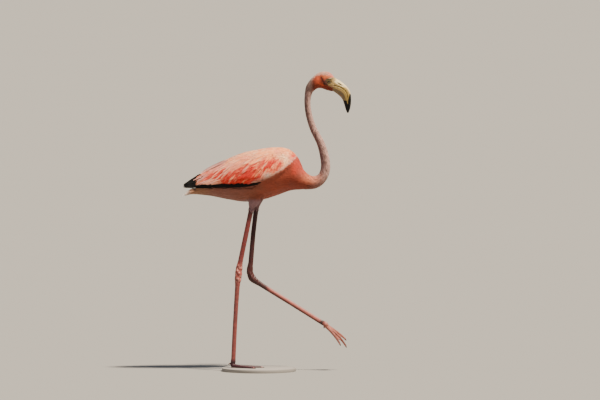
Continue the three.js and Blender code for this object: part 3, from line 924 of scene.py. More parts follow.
# feathers as closed thin vanes of solid mesh

# cross sections of a vane: across, rise and share of the edge colour for each point
slimSection = [(-1, 0, 1), (0, 1, 0), (1, 0, 1), (0, -1, 0.2)]
broadSection = [(-1, 0, 1), (-0.55, 0.8, 0.25), (0, 1.1, 0), (0.55, 0.8, 0.25), (1, 0, 1), (0, -0.7, 0.2)]

# what holds for every feather
vaneBuild = {
    "patch": 0.003,  # size of one feather on the bake map
    "bluntness": 0.75,  # power that shapes the outline towards the tip
    "splitDepth": 0.4,  # of half the width
    "thinning": 0.6,  # of the thickness, from root to tip
    "lengthLuck": 0.2,  # share by which lengths vary
    "widthLuck": 0.15,
    "toneAt": 0.6,  # place along the vane whose colour it takes
    "tries": 3.2,  # for each place when feathers are scattered
}


def vaneFaces(section, ringCount):
    # triangles of one vane, whose root and tip follow its rings, and which of them lie below
    sides = len(section)
    root, tip = ringCount * sides, ringCount * sides + 1
    faces, below = [], []
    for i in range(sides):
        after = (i + 1) % sides
        faces.append((root, i, after))
        for a in range(0, (ringCount - 1) * sides, sides):
            faces.append((a + i, a + sides + i, a + after))
            faces.append((a + after, a + sides + i, a + sides + after))
        faces.append((tip, tip - 1 - sides + after, tip - 1 - sides + i))
        below += [min(section[i][1], section[after][1]) < 0] * (2 * ringCount)
    return np.array(faces), below


def vaneSet(places, ups, widths, lifts, shape, tones, seed):
    # places and ups run from root to tip of each vane: (count, rows, 3)
    # tones are the colours at root, tip and edge
    luck = np.random.default_rng(seed)
    count, rows = places.shape[:2]
    along = np.linspace(0, 1, rows)
    across = unit(np.cross(ups, unit(np.gradient(places, axis=1))))
    outline = between((shape["neck"], 1), ease(0, shape["fullest"], along))
    outline = outline * (1 - along ** shape["roundness"]) ** vaneBuild["bluntness"]
    ragged = 1 + shape["ragged"] * luck.uniform(-1, 1, (count, rows, 2))
    ragged = ragged - vaneBuild["splitDepth"] * (luck.uniform(size=ragged.shape) < shape["splits"])
    half = widths[:, None] / 2 * outline
    centre = places + ups * lifts[..., None]
    rootTone, tipTone, edgeTone = (colour[:, None] for colour in tones)
    main = mixed(rootTone, tipTone, ease(0.25, 0.9, along))
    middle = np.zeros((count, rows, 3))
    middle[..., 1] = along
    middle[..., 2] = luck.uniform(0, 1, (count, 1))
    rings, normals, unders, vanes, shades = [], [], [], [], []
    thinner = 1 - vaneBuild["thinning"] * along
    for side, rise, fringe in shape["section"]:
        wide = half * ragged[..., 0 if side < 0 else 1]
        height = rise * shape["thickness"] * thinner - shape["camber"] * side * side * half
        rings.append(centre + across * (side * wide)[..., None] + ups * height[..., None])
        tilt = across * (side * shape["roll"])
        normals.append(ups + tilt)
        unders.append(tilt - ups)
        vanes.append(middle + (side, 0, 0))
        shades.append(mixed(main, edgeTone, fringe * shape["fringe"] * ease(0.15, 0.75, along)))
    endTones = np.concatenate([main[:, :1], mixed(main[:, -1:], edgeTone, shape["fringe"])], 1)

    def packed(lists, ends):
        # the inner rows of every ring point, then the two ends
        return np.concatenate([np.stack(lists, 2)[:, 1:-1].reshape(count, -1, 3), ends], 1).reshape(-1, 3)

    faces, below = vaneFaces(shape["section"], rows - 2)
    vaneStarts = np.arange(count) * (faces.max() + 1)
    triangles = (faces + vaneStarts[:, None, None]).reshape(-1, 3)
    upper = unit(packed(normals, ups[:, [0, -1]]))[triangles]
    lower = unit(packed(unders, -ups[:, [0, -1]]))[triangles]
    return {
        "points": packed(rings, centre[:, [0, -1]]), "colours": packed(shades, endTones),
        "vanes": packed(vanes, middle[:, [0, -1]]), "triangles": triangles,
        "rootOf": np.repeat(places[:, 0], faces.max() + 1, axis=0),
        "normals": np.where(np.tile(below, count)[:, None, None], lower, upper),
    }


def joined(sets):
    # several vane sets as one
    starts = np.cumsum([0] + [len(one["points"]) for one in sets[:-1]])
    whole = {key: np.concatenate([one[key] for one in sets]) for key in sets[0] if key != "triangles"}
    whole["triangles"] = np.concatenate([one["triangles"] + start for one, start in zip(sets, starts)])
    return whole


def bodyMap(points):
    # unwrap of the body: along its line, and round it
    distance, _, turn = alongBody(points)
    return np.stack([distance, turn], 1)


def thighMap(points):
    # down the thigh, and round it
    middle = points.mean(0)
    return np.stack([points[:, 2], np.arctan2(points[:, 1] - middle[1], points[:, 0] - middle[0])], 1)


def tailMap(points):
    # across the root of the tail, one layer over another
    return points[:, 1:]


def addCoat(name, sets, material, replaced, unwrap=bodyMap):
    whole = joined(sets)
    mesh = newMesh(name, whole["points"], whole["triangles"])
    setColours(mesh, whole["colours"])
    vane = mesh.attributes.new("vane", "FLOAT_VECTOR", "POINT")
    vane.data.foreach_set("vector", floats(whole["vanes"]))
    mesh.normals_split_custom_set(whole["normals"].reshape(-1, 3).astype(np.float32))
    # on the bake map each feather has a small patch at the place of its root
    roots, rootIndex = np.unique(whole["rootOf"], axis=0, return_inverse=True)
    flat = unwrap(roots)
    low, high = flat.min(0), flat.max(0)
    patch = vaneBuild["patch"]
    flat = patch + (flat - low) / np.maximum(high - low, 1e-6) * (1 - 2 * patch)
    corner = flat[rootIndex.reshape(-1)] + (whole["vanes"][:, :2] * (0.5, 1) - (0, 0.5)) * patch
    layer = mesh.uv_layers.new(name="OFBake")
    layer.data.foreach_set("uv", floats(corner[whole["triangles"].ravel()]))
    addPiece(name, mesh, material, replaced)
    print(f"{name}: {len(roots)} feathers, {len(whole['triangles'])} triangles")


def scatter(surface, wanted, spacing, seed):
    # places over the wanted parts of a surface, no closer than the spacing given for each of its points
    luck = np.random.default_rng(seed)
    corners = surface.points[surface.triangles]
    sides = corners[:, 1:] - corners[:, :1]
    areas = np.linalg.norm(np.cross(sides[:, 0], sides[:, 1]), axis=1) / 2
    local = spacing[surface.triangles].mean(1)
    chance = areas / local ** 2 * (wanted[surface.triangles].mean(1) > 0.5)
    tries = int(chance.sum() * vaneBuild["tries"])
    chosen = luck.choice(len(areas), tries, p=chance / chance.sum())
    u, v = luck.uniform(size=(2, tries))
    flip = u + v > 1
    u[flip], v[flip] = 1 - u[flip], 1 - v[flip]
    places = corners[chosen, 0] + u[:, None] * sides[chosen, 0]
    places = places + v[:, None] * sides[chosen, 1]
    tree = placeTree(places.tolist())
    free = np.ones(tries, bool)
    kept = []
    for i in range(tries):
        if free[i]:
            kept.append(i)
            for _, other, _ in tree.find_range(places[i], local[chosen[i]]):
                free[other] = False
    return places[kept], surface.triangles[chosen[kept]]


def layOver(surface, roots, headings, lengths, rows):
    # paths that follow the surface from each root
    place, up = surface.nearest(roots)
    places, ups = [place], [up]
    heading = headings
    for _ in range(rows - 1):
        heading = unit(heading - dot(heading, ups[-1]) * ups[-1])
        place, up = surface.nearest(places[-1] + heading * (lengths / (rows - 1))[:, None])
        places.append(place)
        ups.append(up)
    return np.stack(places, 1), np.stack(ups, 1)


def liftProfile(base, tip, rows, curl=2.3):
    # height of each vane over the surface: quick at the root, level towards the tip
    rise = 1 - (1 - np.linspace(0, 1, rows)) ** curl
    return base + (tip - base)[:, None] * rise


def jitter(values, amount, luck):
    return values * (1 + amount * luck.uniform(-1, 1, len(values)))


def turned(headings, ups, degrees):
    # headings turned about the surface's own direction
    angle = np.radians(degrees)[:, None]
    return headings * np.cos(angle) + np.cross(ups, headings) * np.sin(angle)


def flowOver(points):
    # lie of the coat
    _, direction, _ = alongBody(points)
    x, level = points[:, 0], wingLevel(points)
    slope = 25 + 20 * ease(-0.17, -0.08, x) * ease(1.0, 0.5, level)
    slope = np.radians(slope + 16 * ease(-0.02, 0.06, x) * ease(0.9, 0.4, level))
    folded = np.stack([-np.cos(slope), np.zeros(len(x)), -np.sin(slope)], 1)
    onWing = ease(-0.04, 0.10, level) * ease(0.15, 0.08, x)
    direction = direction + (folded - direction) * onWing[:, None]
    droop = np.array([-0.15, 0, -1.0])
    return unit(direction + (droop - direction) * 0.9 * thighShare(points)[:, None])


rootShade = 0.82  # a feather's root against its tip


def plumageTones(roots, variation, fringe, luck, spread=0.05):
    # root, tip and edge colours for each feather
    colour = plumageMarkings(roots, variation * luck.normal(size=len(roots)))
    tip = np.clip(colour * (1 + spread * luck.normal(size=(len(colour), 1))), 0, 1)
    return tip * rootShade, tip, mixed(tip, np.minimum(tip * 1.3 + 0.05, 1), fringe)


def fittedLengths(roots, headings, lengths, within, luck):
    # shortens what would reach past the edge of its tract
    fitted = lengths.copy()
    for _ in range(14):
        beyond = ~within(roots + headings * fitted[:, None])
        fitted[beyond] *= 0.9
    return fitted * luck.uniform(0.94, 1.03, len(roots))


def growVanes(surface, wanted, look, share, seed, within=None, tones=plumageTones):
    # scattered feathers; share tells where they are between their first and second size
    luck = np.random.default_rng(seed)
    roots, corners = scatter(surface, wanted, between(look["spacing"], share(surface.points)), seed + 1)
    up = unit(surface.normals[corners].sum(1))
    headings = turned(flowOver(roots), up, luck.normal(0, look["stray"], len(roots)))
    lengths = jitter(between(look["length"], share(roots)), vaneBuild["lengthLuck"], luck)
    tips = surface.depth[corners].mean(1)
    if within is not None:
        flat = unit(headings - dot(headings, up) * up)
        fitted = fittedLengths(roots, flat, lengths, within, luck)
        kept = fitted > 0.4 * lengths
        roots, headings, lengths, tips = roots[kept], headings[kept], fitted[kept], tips[kept]
    rows = look["rows"]
    places, ups = layOver(surface, roots, headings, lengths, rows)
    widths = jitter(between(look["width"], share(roots)), vaneBuild["widthLuck"], luck)
    lifts = liftProfile(look["base"], jitter(tips * look["tip"], look["uneven"], luck), rows)
    shown = places[:, int(vaneBuild["toneAt"] * rows)]
    colours = tones(shown, look["variation"], look["shape"]["fringe"], luck)
    return vaneSet(places, ups, widths, lifts, look["shape"], colours, seed + 2)


def easeAlong(axis, low, high):
    # a function for the share of points between two places along an axis
    return lambda points: ease(low, high, points[:, axis])


# materials of the coat

featherLook = {
    "roughness": 0.75,
    "sheen": 0.15,
    "barbShade": 0.12,
    "barbSlant": -0.3,
    "blotchSize": 110,
    "blotchShade": 0.16,
    "bump": 0.0003,
}


def featherMaterial(name, specular, barbs, roughness=featherLook["roughness"], sheen=featherLook["sheen"]):
    material = newMaterial(name, roughness, specular, sheen)
    vane = addNode(material, "ShaderNodeSeparateXYZ", {0: attributeOf(material, "vane", "Vector")}).node
    away = calculated(material, "ABSOLUTE", vane.outputs["X"])
    slant = calculated(material, "MULTIPLY_ADD", away, featherLook["barbSlant"], vane.outputs["Y"])
    wave = calculated(material, "SINE", calculated(material, "MULTIPLY", slant, barbs * 2 * math.pi))
    shade = featherLook["blotchShade"]
    blotch = noiseOf(material, featherLook["blotchSize"], 4, 0.6)
    feedShader(material, {"Normal": bumpOf(material, wave, 0.4, featherLook["bump"])})
    return markedMaterial(material, [
        ranged(material, wave, (1 - featherLook["barbShade"], 1), (-1, 1)),
        ranged(material, blotch, (1 - shade, 1 + 0.5 * shade), (0.25, 0.75)),
    ])


plushMaterial = featherMaterial("plushFeathers", 0.2, 5)
bodyFeatherMaterial = featherMaterial("bodyFeathers", 0.25, 12)
wingFeatherMaterial = featherMaterial("wingFeathers", 0.3, 30, 0.68)
blackFeatherMaterial = featherMaterial("blackFeathers", 0.15, 60, 0.6, 0)

# head and neck: small plush feathers

plushVane = {
    "section": slimSection, "neck": 0.45, "fullest": 0.45, "roundness": 1.8, "ragged": 0.12, "splits": 0,
    "thickness": 0.14 * mm, "camber": 0.2, "roll": 0.3, "fringe": 0.30,
}

headCoat = {
    "length": (3.4 * mm, 5.4 * mm), "width": (1.1 * mm, 1.9 * mm), "spacing": (0.78 * mm, 1.15 * mm),
    "base": -0.2 * mm, "tip": 1.05, "uneven": 0.16, "rows": 4, "stray": 8, "variation": 1.0,
    "shape": plushVane,
}

neckCoat = headCoat | {
    "length": (5.5 * mm, 14 * mm), "width": (1.8 * mm, 4.4 * mm), "spacing": (1.1 * mm, 2.2 * mm),
    "base": -0.3 * mm, "tip": 1.03, "uneven": 0.10, "stray": 7,
    "shape": plushVane | {"roundness": 1.9, "thickness": 0.18 * mm, "camber": 0.18},
}


def neckSize(points):
    distance, _, _ = alongBody(points)
    return ease(0.11, 0.50, distance)


def buildHeadCoat():
    faceEdge = bareness(skin.points) + 0.25 * ripple(skin.points, 2.5 * mm, 24)
    # the flat end of the head, where the bill starts
    billEnd = (skin.points[:, 0] > 0.2605) & (skin.normals[:, 0] > 0.75)
    wanted = (skin.zone == head) & (faceEdge < 0.5) & ~billEnd
    coat = growVanes(skin, wanted, headCoat, easeAlong(0, 0.262, 0.185), 21)
    addCoat("headFeathers", [coat], plushMaterial, ["head"])


def buildNeckCoat():
    coat = growVanes(skin, skin.zone == neck, neckCoat, neckSize, 31)
    replaced = ["neck_lower", "neck_middle", "neck_upper"]
    addCoat("neckFeathers", [coat], plushMaterial, replaced)


# breast, belly and back

bodyVane = {
    "section": slimSection, "neck": 0.5, "fullest": 0.45, "roundness": 2.6, "ragged": 0.10, "splits": 0,
    "thickness": 0.3 * mm, "camber": 0.12, "roll": 0.35, "fringe": 0.35,
}

bodyCoat = {
    "length": (13 * mm, 22 * mm), "width": (5.4 * mm, 7.6 * mm), "spacing": (1.95 * mm, 2.6 * mm),
    "base": -0.3 * mm, "tip": 0.97, "uneven": 0.05, "rows": 5, "stray": 8, "variation": 0.6,
    "shape": bodyVane,
}

ventCoat = bodyCoat | {
    "length": (22 * mm, 36 * mm), "width": (6 * mm, 7.5 * mm), "spacing": (2.7 * mm, 3.1 * mm),
    "tip": 0.95, "uneven": 0.06, "rows": 6, "stray": 6,
    "shape": bodyVane | {"neck": 0.4, "fullest": 0.4, "roundness": 1.7, "camber": 0.1, "fringe": 0.4},
}

mantleCoat = bodyCoat | {
    "length": (17 * mm, 32 * mm), "width": (6.0 * mm, 8.4 * mm), "spacing": (2.2 * mm, 2.9 * mm),
    "tip": 1.0, "rows": 6, "stray": 7, "variation": 0.7,
}

# ends of the tracts: places along the body, two heights, and levels on the folded wing
tracts = {
    "neckStart": 0.175, "shoulderEnd": 0.10, "breastEnd": 0.035, "bellyStart": 0.037, "bellyEnd": -0.145,
    "ventStart": -0.14, "ventEnd": -0.247, "ventTips": -0.260, "mantleEnd": -0.215, "mantleTips": -0.229,
    "rearTop": 0.6425, "thighTop": 0.594, "mantleLevel": 0.80,
    "drapedPlaces": (-0.15, 0.045), "drapedLevels": (0.52, 0.98),  # of the feathers that hang over the wing
}


def inside(low, high, values):
    return (values > low) & (values < high)


def aheadOf(end):
    # a function that tells which points lie ahead of a place
    return lambda points: points[:, 0] > end


def buildBodyCoats():
    x, _, z = lie.points.T
    level = wingLevel(lie.points)
    bodySize = easeAlong(0, 0.155, 0.07)
    onTrunk = lie.zone == trunk
    onNeck = (lie.zone == neck) & (x < tracts["neckStart"])
    onThigh = (lie.zone == thigh) & (z > tracts["thighTop"])
    under = (onTrunk | onNeck | onThigh) & (level < -0.02) & ((x > 0.0) | (z < tracts["rearTop"]))
    onShoulder = inside(tracts["shoulderEnd"], tracts["neckStart"], x) & (level > -0.05)
    shoulder = (onTrunk | onNeck) & onShoulder
    breast = growVanes(lie, (under & (x > tracts["breastEnd"])) | shoulder, bodyCoat, bodySize, 41)
    addCoat("breastFeathers", [breast], bodyFeatherMaterial, ["trunk"])
    middle = under & (x <= tracts["bellyStart"]) & (x > tracts["bellyEnd"])
    belly = growVanes(lie, middle, bodyCoat, bodySize, 51)
    rear = (under | (lie.zone == tail)) & (z < tracts["rearTop"])
    rear = rear & (x <= tracts["ventStart"]) & (x > tracts["ventEnd"])
    ventSize = easeAlong(0, -0.13, -0.21)
    vent = growVanes(lie, rear, ventCoat, ventSize, 54, aheadOf(tracts["ventTips"]))
    addCoat("bellyFeathers", [belly, vent], bodyFeatherMaterial, ["trunk", "tail"])
    upper = (onTrunk | (lie.zone == wing)) & (level > tracts["mantleLevel"]) & (x > tracts["mantleEnd"])
    mantle = growVanes(lie, upper, mantleCoat, bodySize, 61, aheadOf(tracts["mantleTips"]))
    addCoat("mantleFeathers", [mantle], bodyFeatherMaterial, ["trunk"])


# wing coverts, the long feathers that hang over them, and the tertials at the rear

covertVane = {
    "section": broadSection, "neck": 0.4, "fullest": 0.5, "roundness": 1.9, "ragged": 0.10, "splits": 0.05,
    "thickness": 0.35 * mm, "camber": 0.10, "roll": 0.3, "fringe": 0.45,
}

covertCoat = {
    "length": (15 * mm, 40 * mm), "width": (5.5 * mm, 9.0 * mm), "spacing": (3.0 * mm, 5.0 * mm),
    "base": 0, "tip": 0.92, "uneven": 0.06, "rows": 8, "stray": 5, "variation": 1.0,
    "shape": covertVane,
}

scapularCoat = {
    "length": (26 * mm, 58 * mm), "width": (6.5 * mm, 8 * mm), "spacing": (6 * mm, 7.5 * mm),
    "base": 2.0 * mm, "tip": 1.25, "uneven": 0.06, "rows": 11, "stray": 4, "variation": 1.3,
    "shape": covertVane | {"neck": 0.5, "fullest": 0.35, "roundness": 1.3, "thickness": 0.4 * mm,
                           "fringe": 0.5},
}

# rows of long feathers set one by one, first to last: where their tips lie as (x, z), lengths and lifts
# in metres, and slopes in degrees
tertialRow = {
    "tips": [(-0.182, 0.7030), (-0.205, 0.6900), (-0.2240, 0.6765), (-0.2310, 0.6660), (-0.2260, 0.6580),
             (-0.2060, 0.6550), (-0.1860, 0.6560), (-0.1640, 0.6580)],
    "count": 20, "length": (0.105, 0.062), "slope": (29, 15), "width": 9.5 * mm, "lift": (5.2 * mm, 7.2 * mm),
    "rows": 12, "uneven": 5 * mm, "stray": 3.0, "hug": 0.85,
    "tones": [("b0645a", "f0bca6"), ("c8603c", "ffd8b4"), ("b0746a", "e4b0a2"), ("c04a26", "f4a47c")],
    "shape": covertVane | {"neck": 0.6, "fullest": 0.3, "roundness": 2.6, "ragged": 0.06, "splits": 0.04,
                           "thickness": 0.6 * mm, "camber": 0.22, "roll": 0.5, "fringe": 0.9},
}

secondaryRow = {
    "tips": [(-0.222, 0.6500), (-0.150, 0.6475), (-0.090, 0.6480), (-0.050, 0.6500), (-0.030, 0.6570)],
    "count": 17, "length": (0.110, 0.042), "slope": (5, 21), "width": 19 * mm, "lift": (5.6 * mm, 5.0 * mm),
    "rows": 12, "uneven": 1.5 * mm, "stray": 1.0, "hug": 0.15, "tones": [("050404", "0b0807")],
    "shape": covertVane | {"neck": 0.7, "fullest": 0.2, "roundness": 3.0, "ragged": 0.03, "splits": 0.02,
                           "thickness": 0.5 * mm, "camber": 0.06, "fringe": 0.5},
}

primaryRow = secondaryRow | {
    "tips": [(-0.2645, 0.6445), (-0.2660, 0.6500), (-0.2625, 0.6560), (-0.2530, 0.6620), (-0.2410, 0.6675),
             (-0.2300, 0.6705)],
    "count": 13, "length": (0.105, 0.034), "slope": (3, 27), "width": 13 * mm, "lift": (1.0 * mm, 1.2 * mm),
    "rows": 14, "uneven": 1.0 * mm, "tones": [("050404", "0c0908")],
    "shape": secondaryRow["shape"] | {"roundness": 2.6, "camber": 0.05},
}


def wingSize(points):
    return ease(0.11, -0.05, points[:, 0]) * (0.6 + 0.4 * ease(0.9, 0.4, wingLevel(points)))


def withinCoverts(points):
    # above the lower edge of the wing and ahead of the tertials' tips
    x, _, z = points.T
    edge = covertEdge(x) - 2 * mm * ripple(points, 0.009, 70)
    return (z > edge) & (x > np.interp(z, [0.655, 0.68, 0.72], [-0.219, -0.223, -0.205]))


def streakTones(roots, variation, fringe, luck):
    # drooping feathers: pale, greyish pink or washed with the colour below
    main, _, _ = plumageTones(roots, variation, fringe, luck)
    main = main / rootShade
    pale = mixed(bodyTones["drapedDull"], bodyTones["drapedPale"], luck.uniform(0, 1, len(roots)))
    main = mixed(main, pale, 0.6 * (luck.uniform(0, 1, len(roots)) < 0.36))  # about one in three
    return main * 0.8, main, mixed(main, bodyTones["cream"], fringe)


def evenOut(values):
    # evens out the inner rows of each path
    for _ in range(4):
        values[:, 1:-1] = (values[:, :-2] + values[:, 1:-1] + values[:, 2:]) / 3


def sidePath(starts, ends, hand, rows, bow, hug):
    # paths over the side of the body between points of the side plane
    share = np.linspace(0, 1, rows)
    flat = starts[:, None] + (ends - starts)[:, None] * share[:, None]
    flat[..., 1] += bow * 4 * share * (1 - share)
    places = np.zeros((len(starts), rows, 3))
    for i, path in enumerate(flat):
        reach = 0.030
        # past the end of the surface a path goes on a little closer to the middle at each step
        for j, (x, z) in enumerate(path):
            hit = lie.tree.ray_cast((x, hand * 0.3, z), (0, -hand, 0))[0]
            reach = abs(hit[1]) if hit is not None and hit[1] * hand > 0 else reach * 0.96
            places[i, j] = (x, hand * reach, z)
    _, ups = lie.nearest(places.reshape(-1, 3))
    ups = unit(ups * (0.6, 0.6, hug) + np.array([0, hand * (1.1 - 0.7 * hug), 0])).reshape(places.shape)
    evenOut(places[..., 1])
    evenOut(ups)
    return places, unit(ups)


def rowOfFeathers(row, hand, seed):
    # long feathers side by side, laid by their tips
    luck = np.random.default_rng(seed)
    count = row["count"]
    tips, _ = curveThrough(row["tips"], count)
    share = np.linspace(0, 1, count)
    tips = tips + row["uneven"] * luck.uniform(-0.5, 0.5, (count, 1)) * (1, 0.5)
    slope = np.radians(between(row["slope"], share) + luck.normal(0, row["stray"], count))
    length = between(row["length"], share)
    starts = tips + length[:, None] * np.stack([np.cos(slope), np.sin(slope)], 1)
    places, ups = sidePath(starts, tips, hand, row["rows"], 2 * mm, row["hug"])
    lifts = liftProfile(0.2 * mm, between(row["lift"], share), row["rows"], 1.3)
    inner, edge = (np.array([tone(codes[k]) for codes in row["tones"]]) for k in (0, 1))
    pick = luck.integers(len(inner), size=count)
    colours = (inner[pick] * 0.9, inner[pick], edge[pick])
    return vaneSet(places, ups, np.full(count, row["width"]), lifts, row["shape"], colours, seed + 1)


def buildWing(side, hand):
    x, y, _ = lie.points.T
    level = wingLevel(lie.points)
    onSide = (lie.zone == wing) & (y * hand > 0)
    onCoverts = onSide & (level <= tracts["mantleLevel"] + 0.03)
    draped = onSide & inside(*tracts["drapedLevels"], level) & inside(*tracts["drapedPlaces"], x)
    coats = [
        growVanes(lie, onCoverts, covertCoat, wingSize, 71, withinCoverts),
        growVanes(lie, draped, scapularCoat, wingSize, 74, withinCoverts, streakTones),
        rowOfFeathers(tertialRow, hand, 77),
    ]
    addCoat(f"wingFeathers_{side}", coats, wingFeatherMaterial, [f"wing_{side}"])
    black = [rowOfFeathers(secondaryRow, hand, 81), rowOfFeathers(primaryRow, hand, 84)]
    replaced = [f"flight_feathers_{side}"]
    addCoat(f"flightFeathers_{side}", black, blackFeatherMaterial, replaced)


# tail: a small fan of pale feathers

tailFan = {
    "count": 12, "width": 12 * mm, "rows": 12, "rise": 2.0 * mm,
    "line": [(-0.175, 0.640), (-0.220, 0.6355), (-0.241, 0.6290), (-0.256, 0.6205), (-0.2712, 0.6105)],
    "spread": (16 * mm, 21 * mm),  # to each side, at the root and the tip
    "outerShare": 0.80,  # how far along the line the outer ones reach
    "layers": [(0, 1, 91), (2.2 * mm, 0.93, 94), (4.4 * mm, 0.86, 97)],  # drop, length and seed
    "shape": covertVane | {"neck": 0.6, "fullest": 0.3, "roundness": 2.2, "ragged": 0.05, "splits": 0.04,
                           "thickness": 0.5 * mm, "camber": 0.08, "fringe": 0.7},
}


def tailLayer(drop, share, seed):
    luck = np.random.default_rng(seed)
    count, rows = tailFan["count"], tailFan["rows"]
    line, _ = curveThrough(tailFan["line"], 60)
    outward = np.linspace(-1, 1, count)
    fan = between(tailFan["spread"], np.linspace(0, 1, rows))
    places = np.zeros((count, rows, 3))
    for i, place in enumerate(outward):
        reach = share * (1 - (1 - tailFan["outerShare"]) * abs(place) ** 1.5)
        steps = np.linspace(0, reach * (len(line) - 1), rows)
        places[i, :, 0] = np.interp(steps, range(len(line)), line[:, 0])
        places[i, :, 2] = np.interp(steps, range(len(line)), line[:, 1]) - drop
        # the fan closes towards its tip
        places[i, :, 1] = place * fan * (1 - 0.62 * ease(-0.245, -0.272, places[i, :, 0]))
    ups = np.zeros_like(places) + (-0.35, 0, 1)
    ups[..., 1] = outward[:, None] * 0.35
    lifts = np.tile((1 - np.abs(outward))[:, None] * tailFan["rise"], (1, rows))
    widths = np.full(count, tailFan["width"])
    main = bodyTones["undertail"] * luck.uniform(0.92, 1.0, (count, 1))
    tip = bodyTones["tailTip"]
    tones = (main * 0.9, mixed(main, tip, 0.7), np.tile(tip, (count, 1)))
    return vaneSet(places, unit(ups), widths, lifts, tailFan["shape"], tones, seed + 1)


def buildTail():
    layers = [tailLayer(*layer) for layer in tailFan["layers"]]
    addCoat("tailFeathers", layers, wingFeatherMaterial, ["tail"], tailMap)


# feathered thighs

thighCoat = bodyCoat | {
    "length": (10 * mm, 15 * mm), "width": (2.6 * mm, 3.8 * mm), "spacing": (1.5 * mm, 2.1 * mm),
    "tip": 0.95, "uneven": 0.18,
    "shape": plushVane | {"neck": 0.4, "fullest": 0.5, "roundness": 1.6, "thickness": 0.2 * mm,
                          "fringe": 0.4},
}


def buildThigh(side, hand):
    wanted = (skin.zone == thigh) & (skin.points[:, 1] * hand > 0)
    coat = growVanes(skin, wanted, thighCoat, easeAlong(2, 0.575, 0.605), 101)
    addCoat(f"thighFeathers_{side}", [coat], plushMaterial, [f"thigh_{side}"], thighMap)


buildHeadCoat()
buildNeckCoat()
buildBodyCoats()
for side, hand in hands.items():
    buildWing(side, hand)
    buildThigh(side, hand)
buildTail()

# bill: two halves of horn, cream with a black end

billBuild = {
    "voxel": 0.75 * mm,
    "swell": 0.3 * mm,
    "polish": 45,
    "tuck": 4.0 * mm,  # how far its base reaches in under the skin
    "baseWidth": 0.93,  # of the tucked base against its own
    "nostril": (0.2832, 1.0059),
    "nostrilHalf": (9.0 * mm, 1.9 * mm),
    "nostrilTilt": -29.5,  # degrees
    "nostrilDepth": 2.4 * mm,
    "nostrilRim": 0.3 * mm,
    "blackHeights": (971.3 * mm, 949.3 * mm),  # where the black end starts on the upper and lower half
    "mouth": [(0.2632, 1.0011), (0.2872, 0.9933), (0.3048, 0.9783), (0.3114, 0.9531), (0.3116, 0.9247),
              (0.310, 0.9053)],
}


def nostrilDistance(points):
    # 0 in the middle of the slit, 1 at its edge
    turn = math.radians(billBuild["nostrilTilt"])
    offset = points[:, [0, 2]] - billBuild["nostril"]
    along = offset @ (math.cos(turn), math.sin(turn))
    across = offset @ (-math.sin(turn), math.cos(turn))
    inner = np.hypot(along / billBuild["nostrilHalf"][0], across / billBuild["nostrilHalf"][1])
    return np.where(np.abs(points[:, 1]) > 3 * mm, inner, 9)


def billMarkings(points, upper):
    x, _, z = points.T
    mouth, _ = curveThrough(billBuild["mouth"], 60)
    fromMouth = np.min([np.linalg.norm(points[:, [0, 2]] - place, axis=1) for place in mouth], 0)
    cloud = ripple(points, 0.010, 201)
    colour = layered(
        billTones["base"], billTones, ("side", ease(0.268, 0.30, x) + 0.2 * cloud),
        ("olive", 0.5 * bell(fromMouth - 3 * mm, 3 * mm) + 0.15 * cloud),
    )
    if upper:
        slit = nostrilDistance(points)
        colour = layered(
            colour, billTones, ("ridge", ease(7 * mm, 14 * mm, fromMouth) * ease(0.264, 0.276, x)),
            # a painted highlight on the nostril's rim, and painted shade in its slit
            ("ridge", 0.7 * bell(slit - 1.9, 0.6)), ("nostril", 0.97 * np.exp(-slit ** 4)),
        )
        blackEdge = billBuild["blackHeights"][0] - 5.6 * np.maximum(317.25 * mm - x, 0)
    else:
        # the lower half darker away from its mouth edge, painted shade along its underside
        colour = mixed(colour, billTones["keel"], 0.8 * ease(6 * mm, 14 * mm, fromMouth))
        blackEdge = billBuild["blackHeights"][1] - 13 * mm * ease(0.306, 0.311, x)
    ragged = blackEdge - z + 0.8 * mm * ripple(points, 0.006, 203)
    return layered(
        # a dark line along the mouth, painted shade between the two halves
        colour, billTones, ("seam", 0.8 * bell(fromMouth, 0.9 * mm)),
        ("black", ease(-0.8 * mm, 0.8 * mm, ragged)),
    )


def billMaterial():
    material = newMaterial("horn", 0.45, 0.2, coat=0.03, subsurface=0.05)
    drawnOut = addNode(material, "ShaderNodeMapping", {
        "Vector": objectPlace(material), "Scale": (1, 0.35, 1), "Rotation": (0, 0.7, 0)})
    lines = noiseOf(material, 420, 5, 0.6, drawnOut)
    cloud = noiseOf(material, 70, 3)
    feedShader(material, {"Roughness": ranged(material, cloud, (0.34, 0.52)),
                          "Normal": bumpOf(material, lines, 0.35, 0.0003)})
    lineShade, cloudShade = ranged(material, lines, (0.86, 1.06)), ranged(material, cloud, (0.88, 1.08))
    return markedMaterial(material, [lineShade, cloudShade])


def buildBill():
    material = billMaterial()
    headTree = faceTree(*gathered(["head"], 0))
    for half in ("upper", "lower"):
        mesh, edges, rough, points = smoothCopy([f"bill_{half}"], billBuild)
        # the base of the bill is what faces the head, and goes in under its skin
        fromHead = np.array([headTree.find_nearest(p)[3] for p in rough.tolist()])
        base = (fromHead < 1.2 * mm) & (meshNormals(mesh)[:, 0] < -0.5)
        centre = points[base].mean(0)
        inner = centre + (points - centre) * billBuild["baseWidth"]
        inner = inner - billBuild["tuck"] * np.array([1, 0, -0.2])
        points = points + (inner - points) * softened(base, edges, 3)[:, None]
        setPoints(mesh, points)
        if half == "upper":
            slit = nostrilDistance(points)
            dent = billBuild["nostrilDepth"] * bell(slit, 1) - billBuild["nostrilRim"] * bell(slit - 1.8, 0.4)
            points = points - meshNormals(mesh) * dent[:, None]
            setPoints(mesh, points)
        setColours(mesh, billMarkings(points, half == "upper"))
        addPiece(f"bill_{half}Horn", mesh, material, [f"bill_{half}"])


buildBill()
print("bill built")

# eyes: a ball with a raised clear front over iris and pupil

